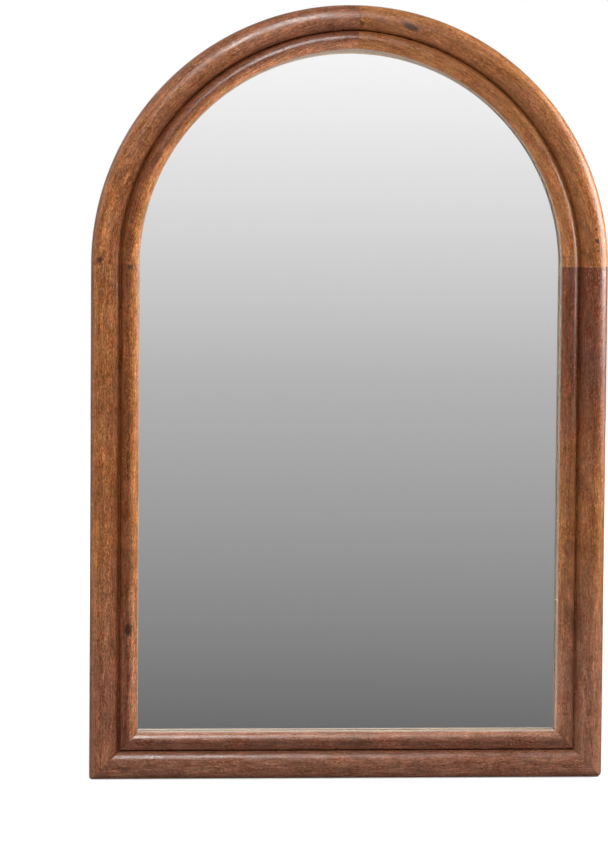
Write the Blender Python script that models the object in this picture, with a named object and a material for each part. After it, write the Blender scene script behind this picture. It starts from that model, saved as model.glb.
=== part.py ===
"""An arched, wood-framed bathroom mirror, taken apart into the pieces it is made of.

Five lengths of solid wood carry one moulding, a wide outer roll and a lower inner roll
with a narrow groove between them. Two stiles and a rail meet in mitres at the foot, and
two quarter arches meet the stiles at the springline and each other at the apex. Dowels
hold every joint. The glass, a foam sheet and a screwed backing board lie in a stepped
rebate at the back, with two D-ring hangers and four rubber pads.

Metres, +Z up, +X to the viewer's right, +Y towards the wall. The origin lies on the wall,
on the mirror's middle line, at the height of the hanger rings.
"""

import math

import bmesh
import bpy
from mathutils import Matrix, Vector

for old in list(bpy.data.objects):
    bpy.data.objects.remove(old, do_unlink=True)

# The frame as a whole
WIDTH = 0.610
HEIGHT = 0.913
WOOD_THICKNESS = 0.035

# The moulding, measured across the wood from its outer edge
OUTER_ROLL_WIDTH = 0.034
OUTER_ROLL_RISE = 0.014
OUTER_CREST_SHARE = 0.485
OUTER_FLANK_POWER = 2.6
INNER_ROLL_WIDTH = 0.0225
INNER_ROLL_RISE = 0.0115
INNER_ROLL_DROP = 0.0015
INNER_CREST_SHARE = 0.47
INNER_FLANK_STRETCH_SHARE = 1.13
GROOVE_WIDTH = 0.0012
GROOVE_DEPTH = 0.0115
LIP_RADIUS = 0.0015
BACK_EDGE_RADIUS = 0.0015

# The arch and the corners, as they were shaped by hand
APEX_RISE = 0.0048
APEX_POINT_POWER = 2
APEX_SEAM_SHIFT = 0.0075
LEFT_CORNER_RADIUS = 0.0025
RIGHT_CORNER_RADIUS = 0.006

# The stepped rebate and what lies in it
GLASS_SET_BACK = 0.0175
GLASS_LAP = 0.0095
GLASS_THICKNESS = 0.004
GLASS_CHAMFER = 0.0006
GLASS_SIDE_GAP = 0.001
FOAM_THICKNESS = 0.0015
BOARD_THICKNESS = 0.006
BOARD_LAP = 0.009
BOARD_SIDE_GAP = 0.0008

# What touches lies this far apart, and a hole is this much wider than what fills it
SEAT_GAP = 0.0003
HOLE_GAP = 0.0003
CUT_OVERRUN = 0.002

# The dowels
DOWEL_RADIUS = 0.004
DOWEL_LENGTH = 0.040
MITRE_DOWEL_RADIUS = 0.003
MITRE_DOWEL_LENGTH = 0.026
DOWEL_CHAMFER = 0.001
DOWEL_HEIGHT = 0.0120
DOWEL_PLACE_SHARES = (0.38, 0.73)

# The wood screws, of one kind for the board and the hangers
SCREW_LENGTH = 0.016
SCREW_RADIUS = 0.00175
SCREW_POINT = 0.004
SCREW_HEAD_RADIUS = 0.0034
SCREW_HEAD_HEIGHT = 0.0021
STILE_SCREW_SHARES = (0.14, 0.46, 0.82)
RAIL_SCREW_SHARES = (0.2, 0.5, 0.8)
ARCH_SCREW_SHARES = (0.26, 0.76)

# The D-ring hangers, set so far below the springline
HANG_DROP = 0.052
STRAP_THICKNESS = 0.0012
STRAP_WIDTH = 0.012
STRAP_LENGTH = 0.029
STRAP_HOLE_SHARES = (0.42, 0.77)
LOOP_WRAP_DEG = 150.0
HINGE_INSET = 0.0335
HINGE_CLEARANCE = 0.00025
RING_WIRE_RADIUS = 0.0015
RING_WIDTH = 0.020
RING_REACH = 0.018
RING_CORNER_RADIUS = 0.0025

# The rubber pads that keep the hangers off the wall
PAD_RADIUS = 0.007
PAD_TIP_RADIUS = 0.0055
PAD_EDGE_RADIUS = 0.0008
PAD_CLEARANCE = 0.0008
PAD_FOOT_HEIGHT = 0.072
PAD_ARCH_DEG = 48.0

# How finely round forms are divided
ARCH_STEPS = 30
OUTER_ROLL_STEPS = 7
INNER_ROLL_STEPS = 6
SMALL_ROUND_STEPS = 3
PLATE_ARC_STEPS = 48
ROUND_SIDES = 12
WIRE_SIDES = 10
RING_BOW_STEPS = 16
SHARP_DEG = 35.0

# Sizes that follow from the ones above, with heights counted forward from the wood's back
arch_radius = WIDTH / 2
spring_height = HEIGHT - arch_radius
hang_height = spring_height - HANG_DROP
face_width = OUTER_ROLL_WIDTH + INNER_ROLL_WIDTH
outer_base = WOOD_THICKNESS - OUTER_ROLL_RISE
inner_base = WOOD_THICKNESS - INNER_ROLL_DROP - INNER_ROLL_RISE
glass_seat = WOOD_THICKNESS - GLASS_SET_BACK
glass_front = glass_seat - SEAT_GAP
glass_back = glass_front - GLASS_THICKNESS
foam_front = glass_back - SEAT_GAP
foam_back = foam_front - FOAM_THICKNESS
board_seat = foam_back
board_front = board_seat - SEAT_GAP
board_back = board_front - BOARD_THICKNESS
glass_rebate = face_width - GLASS_LAP
board_rebate = glass_rebate - BOARD_LAP
loop_radius = RING_WIRE_RADIUS + HINGE_CLEARANCE + STRAP_THICKNESS
hinge_height = -SEAT_GAP - loop_radius
pad_height = 2 * loop_radius + PAD_CLEARANCE
wall_distance = pad_height + SEAT_GAP
left_seam_angle = math.pi / 2 + math.asin(APEX_SEAM_SHIFT / arch_radius)


def linear(hex_colour):
    """One sRGB colour such as '8A5A3C' as linear red, green, blue and alpha."""
    channels = [int(hex_colour[i : i + 2], 16) / 255 for i in (0, 2, 4)]
    light = [c / 12.92 if c <= 0.04045 else ((c + 0.055) / 1.055) ** 2.4 for c in channels]
    return (*light, 1.0)


def finish(name, hex_colour, roughness, metallic=0.0):
    """A material of one plain colour."""
    material = bpy.data.materials.new(name)
    material.use_nodes = True
    shader = material.node_tree.nodes["Principled BSDF"]
    shader.inputs["Base Color"].default_value = linear(hex_colour)
    shader.inputs["Roughness"].default_value = roughness
    shader.inputs["Metallic"].default_value = metallic
    return material


assembly = bpy.data.objects.new("mirror_assembly", None)
assembly.location = (0, -wall_distance, -hang_height)
bpy.context.scene.collection.objects.link(assembly)


def add_object(name, bm, material=None):
    """Put a closed mesh in the scene, under the assembly, with its faces pointing out."""
    bmesh.ops.recalc_face_normals(bm, faces=bm.faces[:])
    mesh = bpy.data.meshes.new(name)
    bm.to_mesh(mesh)
    bm.free()
    if material:
        mesh.materials.append(material)
    piece = bpy.data.objects.new(name, mesh)
    piece.parent = assembly
    bpy.context.scene.collection.objects.link(piece)
    return piece


def loft(name, rings, material=None, loop=False):
    """Join rings of equally many points by quads, and cap the ends unless the loft is a loop."""
    bm = bmesh.new()
    rows = [[bm.verts.new(p) for p in ring] for ring in rings]
    pairs = list(zip(rows, rows[1:]))
    if loop:
        pairs.append((rows[-1], rows[0]))
    for low, high in pairs:
        for i in range(len(low)):
            j = (i + 1) % len(low)
            bm.faces.new((low[i], low[j], high[j], high[i]))
    if not loop:
        bm.faces.new(rows[0])
        bm.faces.new(rows[-1])
    return add_object(name, bm, material)


def turned(name, profile, material, sides=ROUND_SIDES):
    """A solid turned about Z from (radius, height) points. Both end points are flat discs or tips."""
    bm = bmesh.new()
    rows = []
    for radius, height in profile:
        if radius == 0:
            rows.append([bm.verts.new((0, 0, height))])
            continue
        angles = [2 * math.pi * k / sides for k in range(sides)]
        rows.append([bm.verts.new((radius * math.cos(a), radius * math.sin(a), height)) for a in angles])
    for low, high in zip(rows, rows[1:]):
        for i in range(sides):
            j = (i + 1) % sides
            corners = [low[i % len(low)], low[j % len(low)], high[j % len(high)], high[i % len(high)]]
            bm.faces.new(list(dict.fromkeys(corners)))
    for row in (rows[0], rows[-1]):
        if len(row) > 1:
            bm.faces.new(row)
    return add_object(name, bm, material)


def cylinder_cutter(name, holes, sides=ROUND_SIDES):
    """One hidden tool of straight cylinders, each from a start to an end point with a radius."""
    bm = bmesh.new()
    for start, end, radius in holes:
        run = end - start
        turn = run.to_track_quat("Z", "Y").to_matrix().to_4x4()
        place = Matrix.Translation((start + end) / 2) @ turn
        bmesh.ops.create_cone(
            bm,
            cap_ends=True,
            segments=sides,
            radius1=radius,
            radius2=radius,
            depth=run.length,
            matrix=place,
        )
    return hide(add_object(name, bm))


def hide(tool):
    """Show a cutting tool as wires only, and keep it out of the model."""
    tool.display_type = "WIRE"
    tool.hide_render = True
    return tool


def boolean(piece, tool, operation="DIFFERENCE"):
    """Cut a piece with a tool, or keep only what lies inside it."""
    step = piece.modifiers.new(tool.name, "BOOLEAN")
    step.object = tool
    step.operation = operation
    step.solver = "EXACT"


def arc(centre, radius_u, radius_h, start_deg, end_deg, steps, power=2.0):
    """Points on an elliptical arc, as (across, forward) pairs, with both ends.

    A power above 2 fills the arc out towards its corner: each coordinate is the sine or
    cosine raised to 2 / power, with its sign kept.
    """
    points = []
    for k in range(steps + 1):
        angle = math.radians(start_deg + (end_deg - start_deg) * k / steps)
        across = math.copysign(abs(math.cos(angle)) ** (2 / power), math.cos(angle))
        forward = math.copysign(abs(math.sin(angle)) ** (2 / power), math.sin(angle))
        points.append((centre[0] + radius_u * across, centre[1] + radius_h * forward))
    return points


# The moulding's cross-section
# Each roll has its crest off the middle, with a half axis of its own on either side
outer_crest = OUTER_ROLL_WIDTH * OUTER_CREST_SHARE
outer_flank = OUTER_ROLL_WIDTH - outer_crest
inner_rise_axis = INNER_ROLL_WIDTH * INNER_CREST_SHARE
inner_flank = (INNER_ROLL_WIDTH - inner_rise_axis) * INNER_FLANK_STRETCH_SHARE
outer_centre = (outer_crest, outer_base)
inner_centre = (OUTER_ROLL_WIDTH + inner_rise_axis, inner_base)


def roll_angle(half_axis, reach, power=2.0):
    """The angle on a roll, in degrees, at which it has come this far out from its crest."""
    return math.degrees(math.acos((reach / half_axis) ** (power / 2)))


def lip_start_angle():
    """Where the inner roll hands over to the lip's round, so that the lip ends at the sight edge."""
    low, high = 1.0, 89.0
    for _ in range(40):
        middle = (low + high) / 2
        t = math.radians(middle)
        slope = math.atan2(INNER_ROLL_RISE * math.cos(t), inner_flank * math.sin(t))
        end = inner_centre[0] + inner_flank * math.cos(t) + LIP_RADIUS * (1 - math.sin(slope))
        if end > face_width:
            low = middle
        else:
            high = middle
    t = math.radians(low)
    slope = math.degrees(math.atan2(INNER_ROLL_RISE * math.cos(t), inner_flank * math.sin(t)))
    return low, slope


def moulding():
    """The closed outline of the wood as (across, forward, arch share) points.

    The arch share says how far a point follows the inner rise of the arch at its apex:
    nothing at the outer edge and in the rebates, all of it from the groove to the sight edge.
    """
    half_groove = GROOVE_WIDTH / 2
    outer_end = roll_angle(outer_flank, outer_flank - half_groove, OUTER_FLANK_POWER)
    inner_start = 180 - roll_angle(inner_rise_axis, inner_rise_axis - half_groove)
    outer = arc(outer_centre, outer_crest, OUTER_ROLL_RISE, 180, 90, OUTER_ROLL_STEPS)
    outer += arc(
        outer_centre, outer_flank, OUTER_ROLL_RISE, 90, outer_end, OUTER_ROLL_STEPS, OUTER_FLANK_POWER
    )[1:]
    groove_centre = (OUTER_ROLL_WIDTH, WOOD_THICKNESS - GROOVE_DEPTH + half_groove)
    groove = arc(groove_centre, half_groove, half_groove, 180, 360, SMALL_ROUND_STEPS + 1)
    lip_angle, slope = lip_start_angle()
    inner = arc(inner_centre, inner_rise_axis, INNER_ROLL_RISE, inner_start, 90, INNER_ROLL_STEPS)
    inner += arc(inner_centre, inner_flank, INNER_ROLL_RISE, 90, lip_angle, INNER_ROLL_STEPS)[1:]
    lip_centre = (face_width - LIP_RADIUS, inner[-1][1] - LIP_RADIUS * math.cos(math.radians(slope)))
    lip = arc(lip_centre, LIP_RADIUS, LIP_RADIUS, 90 - slope, 0, SMALL_ROUND_STEPS)[1:]

    def front_share(across):
        return min(max((across - outer_crest) / outer_flank, 0), 1)

    front = [(u, h, front_share(u)) for u, h in outer + groove + inner + lip]
    sight_wall = [(face_width, glass_seat, 1)]
    back = [
        (glass_rebate, glass_seat, 0),
        (glass_rebate, board_seat, 0),
        (board_rebate, board_seat, 0),
        (board_rebate, 0, 0),
    ]
    edge_centre = (BACK_EDGE_RADIUS, BACK_EDGE_RADIUS)
    edge = arc(edge_centre, BACK_EDGE_RADIUS, BACK_EDGE_RADIUS, 270, 180, SMALL_ROUND_STEPS)
    return front + sight_wall + back + [(u, h, 0) for u, h in edge]


PROFILE = moulding()
joint_half_gap = SEAT_GAP / 2
mitre_shift = joint_half_gap * math.sqrt(2)


def stile_section(side, end):
    """The moulding on a stile, cut square at the springline or at 45 degrees at the foot."""
    points = []
    for u, h, _ in PROFILE:
        height = spring_height - joint_half_gap if end == "top" else u + mitre_shift
        points.append((side * (WIDTH / 2 - u), -h, height))
    return points


def rail_section(side):
    """The moulding on the rail, cut at 45 degrees at either end."""
    return [(side * (WIDTH / 2 - u - mitre_shift), -h, u) for u, h, _ in PROFILE]


def arch_direction(angle):
    """The outward direction at an angle counted from the left springline over the apex."""
    return Vector((-math.cos(angle), 0, math.sin(angle)))


def arch_point(angle, across, forward):
    """A place on the arch, at its angle and so far in from the outer edge."""
    out = arch_direction(angle) * (arch_radius - across)
    return Vector((0, -forward, spring_height)) + out


def arch_section(angle, rise_share, along):
    """The moulding at one angle of the arch, moved along the arch by a small joint gap."""
    tangent = Vector((math.sin(angle), 0, math.cos(angle)))
    points = []
    for u, h, share in PROFILE:
        points.append(arch_point(angle, u - APEX_RISE * share * rise_share, h) + tangent * along)
    return points


def quarter_arch(name, start, end, material):
    """One quarter of the arch. Its inner edge leaves the true circle and rises to a point at the apex.

    The rise grows as a power of one less the cosine of the angle from the springline, so it
    keeps to the last third of the quarter.
    """
    spring, seam = (start, end) if start < left_seam_angle / 2 else (end, start)
    full = 1 - math.cos(seam - spring)
    rings = []
    for k in range(ARCH_STEPS + 1):
        angle = start + (end - start) * k / ARCH_STEPS
        along = {0: joint_half_gap, ARCH_STEPS: -joint_half_gap}.get(k, 0)
        rise_share = ((1 - math.cos(angle - spring)) / full) ** APEX_POINT_POWER
        rings.append(arch_section(angle, rise_share, along))
    return loft(name, rings, material)


# The five lengths of wood, each cut from its own board
walnut_left = finish("left_stile_wood", "8E5E40", 0.42)
walnut_right = finish("right_stile_wood", "7E5240", 0.42)
walnut_rail = finish("bottom_rail_wood", "84604E", 0.42)
walnut_left_arch = finish("left_arch_wood", "87563C", 0.40)
walnut_right_arch = finish("right_arch_wood", "9C6340", 0.40)

left_stile = loft("left_stile", [stile_section(-1, "foot"), stile_section(-1, "top")], walnut_left)
right_stile = loft("right_stile", [stile_section(1, "foot"), stile_section(1, "top")], walnut_right)
bottom_rail = loft("bottom_rail", [rail_section(-1), rail_section(1)], walnut_rail)
left_arch = quarter_arch("left_arch", 0, left_seam_angle, walnut_left_arch)
right_arch = quarter_arch("right_arch", left_seam_angle, math.pi, walnut_right_arch)


def corner_cutter(name, side, radius):
    """What a rounded foot corner leaves off the square one, through the whole thickness."""
    foot = WIDTH / 2 + CUT_OVERRUN
    round_off = arc((WIDTH / 2 - radius, radius), radius, radius, 0, -90, 2 * SMALL_ROUND_STEPS)
    waste = [(WIDTH / 2 - radius, -CUT_OVERRUN), (foot, -CUT_OVERRUN), (foot, radius)]
    rings = []
    for depth in (CUT_OVERRUN, -WOOD_THICKNESS - CUT_OVERRUN):
        rings.append([(side * x, depth, z) for x, z in round_off + waste])
    return hide(loft(name, rings))


left_corner = corner_cutter("left_corner_cut", -1, LEFT_CORNER_RADIUS)
right_corner = corner_cutter("right_corner_cut", 1, RIGHT_CORNER_RADIUS)
for piece, tool in ((left_stile, left_corner), (right_stile, right_corner)):
    boolean(piece, tool)
    boolean(bottom_rail, tool)

# The dowels, each in a blind hole across its joint
beech = finish("beech_dowel", "D9B98A", 0.6)


def dowel(name, middle, run, radius, length):
    """A round dowel with chamfered ends, centred on its joint, and its hole's two ends."""
    profile = [
        (radius - DOWEL_CHAMFER, -length / 2),
        (radius, -length / 2 + DOWEL_CHAMFER),
        (radius, length / 2 - DOWEL_CHAMFER),
        (radius - DOWEL_CHAMFER, length / 2),
    ]
    piece = turned(name, profile, beech)
    piece.location = middle
    piece.rotation_mode = "QUATERNION"
    piece.rotation_quaternion = run.to_track_quat("Z", "Y")
    reach = run.normalized() * (length / 2 + HOLE_GAP)
    return middle - reach, middle + reach, radius + HOLE_GAP


def dowel_joint(joint, places, run, radius, length, pieces):
    """Dowels side by side across one joint, and the holes they need in both of its pieces."""
    holes = []
    for place, middle in places.items():
        holes.append(dowel(f"{joint}_dowel_{place}", middle, run, radius, length))
    tool = cylinder_cutter(f"{joint}_dowel_holes", holes)
    for piece in pieces:
        boolean(piece, tool)


insets = {name: share * board_rebate for name, share in zip(("outer", "inner"), DOWEL_PLACE_SHARES)}
up = Vector((0, 0, 1))
for joint, side, pieces in (
    ("left_spring", -1, (left_stile, left_arch)),
    ("right_spring", 1, (right_stile, right_arch)),
):
    spots = {n: Vector((side * (WIDTH / 2 - u), -DOWEL_HEIGHT, spring_height)) for n, u in insets.items()}
    dowel_joint(joint, spots, up, DOWEL_RADIUS, DOWEL_LENGTH, pieces)
for joint, side, stile in (("left_mitre", -1, left_stile), ("right_mitre", 1, right_stile)):
    spots = {n: Vector((side * (WIDTH / 2 - u), -DOWEL_HEIGHT, u)) for n, u in insets.items()}
    across = Vector((side, 0, 1))
    dowel_joint(joint, spots, across, MITRE_DOWEL_RADIUS, MITRE_DOWEL_LENGTH, (stile, bottom_rail))
seam_run = Vector((math.sin(left_seam_angle), 0, math.cos(left_seam_angle)))
spots = {n: arch_point(left_seam_angle, u, DOWEL_HEIGHT) for n, u in insets.items()}
dowel_joint("apex", spots, seam_run, DOWEL_RADIUS, DOWEL_LENGTH, (left_arch, right_arch))


# The glass, the foam behind it and the backing board
def arched_outline(inset, forward):
    """The frame's outline, drawn in by an inset, as points on one level."""
    half = WIDTH / 2 - inset
    points = [(half, -forward, inset), (-half, -forward, inset)]
    for k in range(PLATE_ARC_STEPS + 1):
        points.append(arch_point(math.pi * k / PLATE_ARC_STEPS, inset, forward))
    return points


def arched_plate(name, inset, front, back, chamfer, material):
    """A flat arched plate whose edges are chamfered on both faces where it has a chamfer."""
    levels = [(inset, front), (inset, back)]
    if chamfer:
        levels = [
            (inset + chamfer, front),
            (inset, front - chamfer),
            (inset, back + chamfer),
            (inset + chamfer, back),
        ]
    return loft(name, [arched_outline(edge, height) for edge, height in levels], material)


silvered = finish("silvered_glass", "E6E8E8", 0.02, 1.0)
white_foam = finish("foam", "E8E6E0", 0.9)
fibreboard = finish("fibreboard", "A98B66", 0.75)
glass_inset = glass_rebate + GLASS_SIDE_GAP
arched_plate("mirror_glass", glass_inset, glass_front, glass_back, GLASS_CHAMFER, silvered)
arched_plate("foam_sheet", glass_inset, foam_front, foam_back, 0, white_foam)
backing_board = arched_plate(
    "backing_board", board_rebate + BOARD_SIDE_GAP, board_front, board_back, 0, fibreboard
)

# The screws
zinc = finish("zinc_plated_steel", "B9BBBB", 0.35, 0.9)


def wood_screw(name, place):
    """A pan-head screw whose head sits on a level at the place, with its point towards the front."""
    head = arc((0, SEAT_GAP), SCREW_HEAD_RADIUS, SCREW_HEAD_HEIGHT, 0, 90, SMALL_ROUND_STEPS)
    profile = [(0, SEAT_GAP - SCREW_LENGTH), (SCREW_RADIUS, SEAT_GAP - SCREW_LENGTH + SCREW_POINT)]
    profile += [(SCREW_RADIUS, SEAT_GAP)] + head[:-1] + [(0, SEAT_GAP + SCREW_HEAD_HEIGHT)]
    piece = turned(name, profile, zinc)
    piece.location = place
    piece.rotation_euler = (-math.pi / 2, 0, 0)
    return piece


def screw_hole(place):
    """The straight hole for a screw, from behind its head's seat to just past its point."""
    behind = Vector((0, CUT_OVERRUN, 0))
    ahead = Vector((0, -SCREW_LENGTH, 0))
    return place + behind, place + ahead, SCREW_RADIUS + HOLE_GAP


board_screw_inset = (board_rebate + BOARD_SIDE_GAP + glass_rebate) / 2
board_places = {}
for side, word in ((-1, "left"), (1, "right")):
    x = side * (WIDTH / 2 - board_screw_inset)
    for number, share in enumerate(STILE_SCREW_SHARES, 1):
        board_places[f"board_screw_{word}_{number}"] = Vector((x, -board_back, share * spring_height))
for number, share in enumerate(RAIL_SCREW_SHARES, 1):
    x = (share - 0.5) * (WIDTH - 2 * board_screw_inset)
    board_places[f"board_screw_bottom_{number}"] = Vector((x, -board_back, board_screw_inset))
for number, share in enumerate(ARCH_SCREW_SHARES, 1):
    lean = share * math.pi / 2
    for word, angle in (("left", lean), ("right", math.pi - lean)):
        board_places[f"board_screw_arch_{word}_{number}"] = arch_point(angle, board_screw_inset, board_back)
for name, place in board_places.items():
    wood_screw(name, place)
board_screw_holes = cylinder_cutter("board_screw_holes", [screw_hole(p) for p in board_places.values()])
for piece in (left_stile, right_stile, bottom_rail, left_arch, right_arch, backing_board):
    boolean(piece, board_screw_holes)


# The D-ring hangers, with the ring lying inward over the board
def strap_profile():
    """The folded strap from the side: two layers lying together, and a loop round the ring's bar."""
    top = 2 * STRAP_THICKNESS - loop_radius
    wrap = math.radians(LOOP_WRAP_DEG)
    run = (top - loop_radius * math.sin(wrap)) / math.cos(wrap)
    foot = loop_radius * math.cos(wrap) - run * math.sin(wrap)
    loop = arc((0, 0), loop_radius, loop_radius, -90, LOOP_WRAP_DEG, 2 * ROUND_SIDES)
    return [(-STRAP_LENGTH, -loop_radius)] + loop + [(foot, top), (-STRAP_LENGTH, top)]


def strap_outline():
    """The strap from behind: a round end, straight sides, and a square end past the loop."""
    half = STRAP_WIDTH / 2
    end = arc((half - STRAP_LENGTH, 0), half, half, 270, 90, ROUND_SIDES)
    past = loop_radius + CUT_OVERRUN
    return end + [(past, half), (past, -half)]


def hanger_strap(word, side, hinge):
    """A strap folded round the ring's bar, rounded at its end and drilled for its screws."""
    levels = (-STRAP_WIDTH / 2 - CUT_OVERRUN, STRAP_WIDTH / 2 + CUT_OVERRUN)
    strap = loft(f"hanger_strap_{word}", [[(x, y, z) for x, y in strap_profile()] for z in levels], zinc)
    depths = (-loop_radius - CUT_OVERRUN, loop_radius + CUT_OVERRUN)
    outline = hide(loft(f"strap_outline_{word}", [[(x, y, z) for x, z in strap_outline()] for y in depths]))
    turn = (0, 0 if side < 0 else math.pi, 0)
    for body in (strap, outline):
        body.location = hinge
        body.rotation_euler = turn
    boolean(strap, outline, "INTERSECT")
    along = up * (STRAP_WIDTH / 2 + CUT_OVERRUN)
    bar_hole = (hinge - along, hinge + along, RING_WIRE_RADIUS + HINGE_CLEARANCE)
    boolean(strap, cylinder_cutter(f"strap_loop_hole_{word}", [bar_hole], 2 * WIRE_SIDES))
    return strap


def ring_path():
    """The ring's middle line as (out, up) points: a bar, two short arms and a half-round bow."""
    half = RING_WIDTH / 2
    corner = RING_CORNER_RADIUS
    bow = arc((RING_REACH - half, 0), half, half, -90, 90, RING_BOW_STEPS)
    upper = arc((corner, half - corner), corner, corner, 90, 180, SMALL_ROUND_STEPS)
    lower = arc((corner, corner - half), corner, corner, 180, 270, SMALL_ROUND_STEPS)
    return bow + upper + lower


def hanger_ring(word, side, hinge):
    """A ring of round wire, swept round its middle line, with its origin on the bar's axis."""
    path = [Vector((x, 0, z)) for x, z in ring_path()]
    rings = []
    for k, here in enumerate(path):
        ahead = (path[(k + 1) % len(path)] - here).normalized()
        behind = (here - path[k - 1]).normalized()
        tangent = (ahead + behind).normalized()
        outward = tangent.cross(Vector((0, 1, 0)))
        ring = []
        for n in range(WIRE_SIDES):
            angle = 2 * math.pi * n / WIRE_SIDES
            spoke = outward * math.cos(angle) + Vector((0, 1, 0)) * math.sin(angle)
            ring.append(here + spoke * RING_WIRE_RADIUS)
        rings.append(ring)
    piece = loft(f"hanger_ring_{word}", rings, zinc, loop=True)
    piece.location = hinge
    piece.rotation_euler = (0, 0 if side < 0 else math.pi, 0)


for word, side, stile in (("left", -1, left_stile), ("right", 1, right_stile)):
    hinge = Vector((side * (WIDTH / 2 - HINGE_INSET), -hinge_height, hang_height))
    strap = hanger_strap(word, side, hinge)
    hanger_ring(word, side, hinge)
    places = []
    for number, share in enumerate(STRAP_HOLE_SHARES, 1):
        x = hinge.x + side * share * STRAP_LENGTH
        place = Vector((x, SEAT_GAP + 2 * STRAP_THICKNESS, hang_height))
        places.append(place)
        wood_screw(f"hanger_screw_{word}_{number}", place)
    holes = cylinder_cutter(f"hanger_screw_holes_{word}", [screw_hole(p) for p in places])
    boolean(strap, holes)
    boolean(stile, holes)

# The rubber pads, stuck to the back of the wood
rubber = finish("black_rubber", "1E1E1F", 0.85)
pad_inset = board_rebate / 2
pad_profile = [
    (PAD_RADIUS, SEAT_GAP),
    (PAD_TIP_RADIUS, wall_distance - PAD_EDGE_RADIUS),
    (PAD_TIP_RADIUS - PAD_EDGE_RADIUS, wall_distance),
]
lean = math.radians(PAD_ARCH_DEG)
for name, place in {
    "wall_pad_lower_left": Vector((pad_inset - WIDTH / 2, 0, PAD_FOOT_HEIGHT)),
    "wall_pad_lower_right": Vector((WIDTH / 2 - pad_inset, 0, PAD_FOOT_HEIGHT)),
    "wall_pad_upper_left": arch_point(lean, pad_inset, 0),
    "wall_pad_upper_right": arch_point(math.pi - lean, pad_inset, 0),
}.items():
    pad = turned(name, pad_profile, rubber, 2 * ROUND_SIDES)
    pad.location = place
    pad.rotation_euler = (-math.pi / 2, 0, 0)

# Work the cuts into the meshes, so that the edges they make are drawn sharp too
bpy.context.view_layer.update()
graph = bpy.context.evaluated_depsgraph_get()
solids = [body for body in bpy.data.objects if body.type == "MESH" and not body.hide_render]
worked = {body: bpy.data.meshes.new_from_object(body.evaluated_get(graph)) for body in solids}
for body, mesh in worked.items():
    body.modifiers.clear()
    mesh.shade_smooth()
    mesh.set_sharp_from_angle(angle=math.radians(SHARP_DEG))
    mesh.name = body.name
    body.data = mesh
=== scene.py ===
import math

import bmesh
import bpy
import numpy as np
from mathutils import Matrix, Vector


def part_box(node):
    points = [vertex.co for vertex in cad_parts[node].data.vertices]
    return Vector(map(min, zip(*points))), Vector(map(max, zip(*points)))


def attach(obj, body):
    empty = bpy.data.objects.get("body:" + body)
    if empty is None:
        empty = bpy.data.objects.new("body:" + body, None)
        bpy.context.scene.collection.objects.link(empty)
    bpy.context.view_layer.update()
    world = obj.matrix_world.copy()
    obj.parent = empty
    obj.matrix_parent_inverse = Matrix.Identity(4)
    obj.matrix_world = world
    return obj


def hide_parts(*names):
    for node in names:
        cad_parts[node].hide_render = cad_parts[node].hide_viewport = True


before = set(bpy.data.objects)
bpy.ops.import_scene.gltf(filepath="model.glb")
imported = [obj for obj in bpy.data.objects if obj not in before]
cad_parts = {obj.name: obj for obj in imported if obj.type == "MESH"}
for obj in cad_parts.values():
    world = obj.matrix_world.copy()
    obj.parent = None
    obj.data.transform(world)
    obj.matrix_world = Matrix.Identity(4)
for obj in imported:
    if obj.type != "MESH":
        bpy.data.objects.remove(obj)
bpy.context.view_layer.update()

# The wood: two stiles, a rail and two quarter arches
# Each is a length of walnut-stained hardwood under satin lacquer. One moulding runs round
# them all, a wide outer roll and a narrower inner roll with a fine groove between. The foot
# corners are mitred, and the other ends butt together on dowels.

OUTER_ROLL_WIDTH = 0.034
OUTER_ROLL_RISE = 0.014
OUTER_CREST_SHARE = 0.485
OUTER_FLANK_POWER = 2.6
INNER_ROLL_WIDTH = 0.0225
INNER_ROLL_RISE = 0.0115
INNER_ROLL_DROP = 0.0015
INNER_CREST_SHARE = 0.47
INNER_FLANK_STRETCH_SHARE = 1.13
GROOVE_WIDTH = 0.0012
GROOVE_DEPTH = 0.0115
LIP_RADIUS = 0.0015
BACK_EDGE_RADIUS = 0.0015
GLASS_SET_BACK = 0.0175
GLASS_LAP = 0.0095
BOARD_LAP = 0.009
APEX_RISE = 0.0048
APEX_POINT_POWER = 2
LEFT_CORNER_RADIUS = 0.0025
RIGHT_CORNER_RADIUS = 0.006
JOINT_EASE = 0.0003
SANDING_DEPTH = 0.00035
SANDED_SHARE = 0.4
OUTER_RISE_STEPS = 28
OUTER_FLANK_STEPS = 34
GROOVE_STEPS = 6
INNER_RISE_STEPS = 24
INNER_FLANK_STEPS = 22
LIP_STEPS = 8
BACK_EDGE_STEPS = 5
HAND_OVER_TRIES = 4001
ROW_STEP = 0.0036
JOINT_STRETCH = 0.012
JOINT_ROWS = 18
JOINT_CROWDING = 1.8
WELD_DISTANCE = 1e-7

stile_low, stile_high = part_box("left_stile")
arch_low, arch_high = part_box("left_arch")
half_width = -stile_low.x
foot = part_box("bottom_rail")[0].z
back_plane = stile_high.y
crest_plane = stile_low.y
springline = (stile_high.z + arch_low.z) / 2
wood_thickness = back_plane - crest_plane
face_width = OUTER_ROLL_WIDTH + INNER_ROLL_WIDTH
glass_seat = wood_thickness - GLASS_SET_BACK
board_seat = back_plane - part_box("foam_sheet")[1].y
glass_rebate = face_width - GLASS_LAP
board_rebate = glass_rebate - BOARD_LAP
seam_shift = (arch_high.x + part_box("right_arch")[0].x) / 2
seam_angle = math.pi / 2 + math.asin(seam_shift / half_width)
outer_crest = OUTER_ROLL_WIDTH * OUTER_CREST_SHARE
outer_flank = OUTER_ROLL_WIDTH - outer_crest


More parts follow.
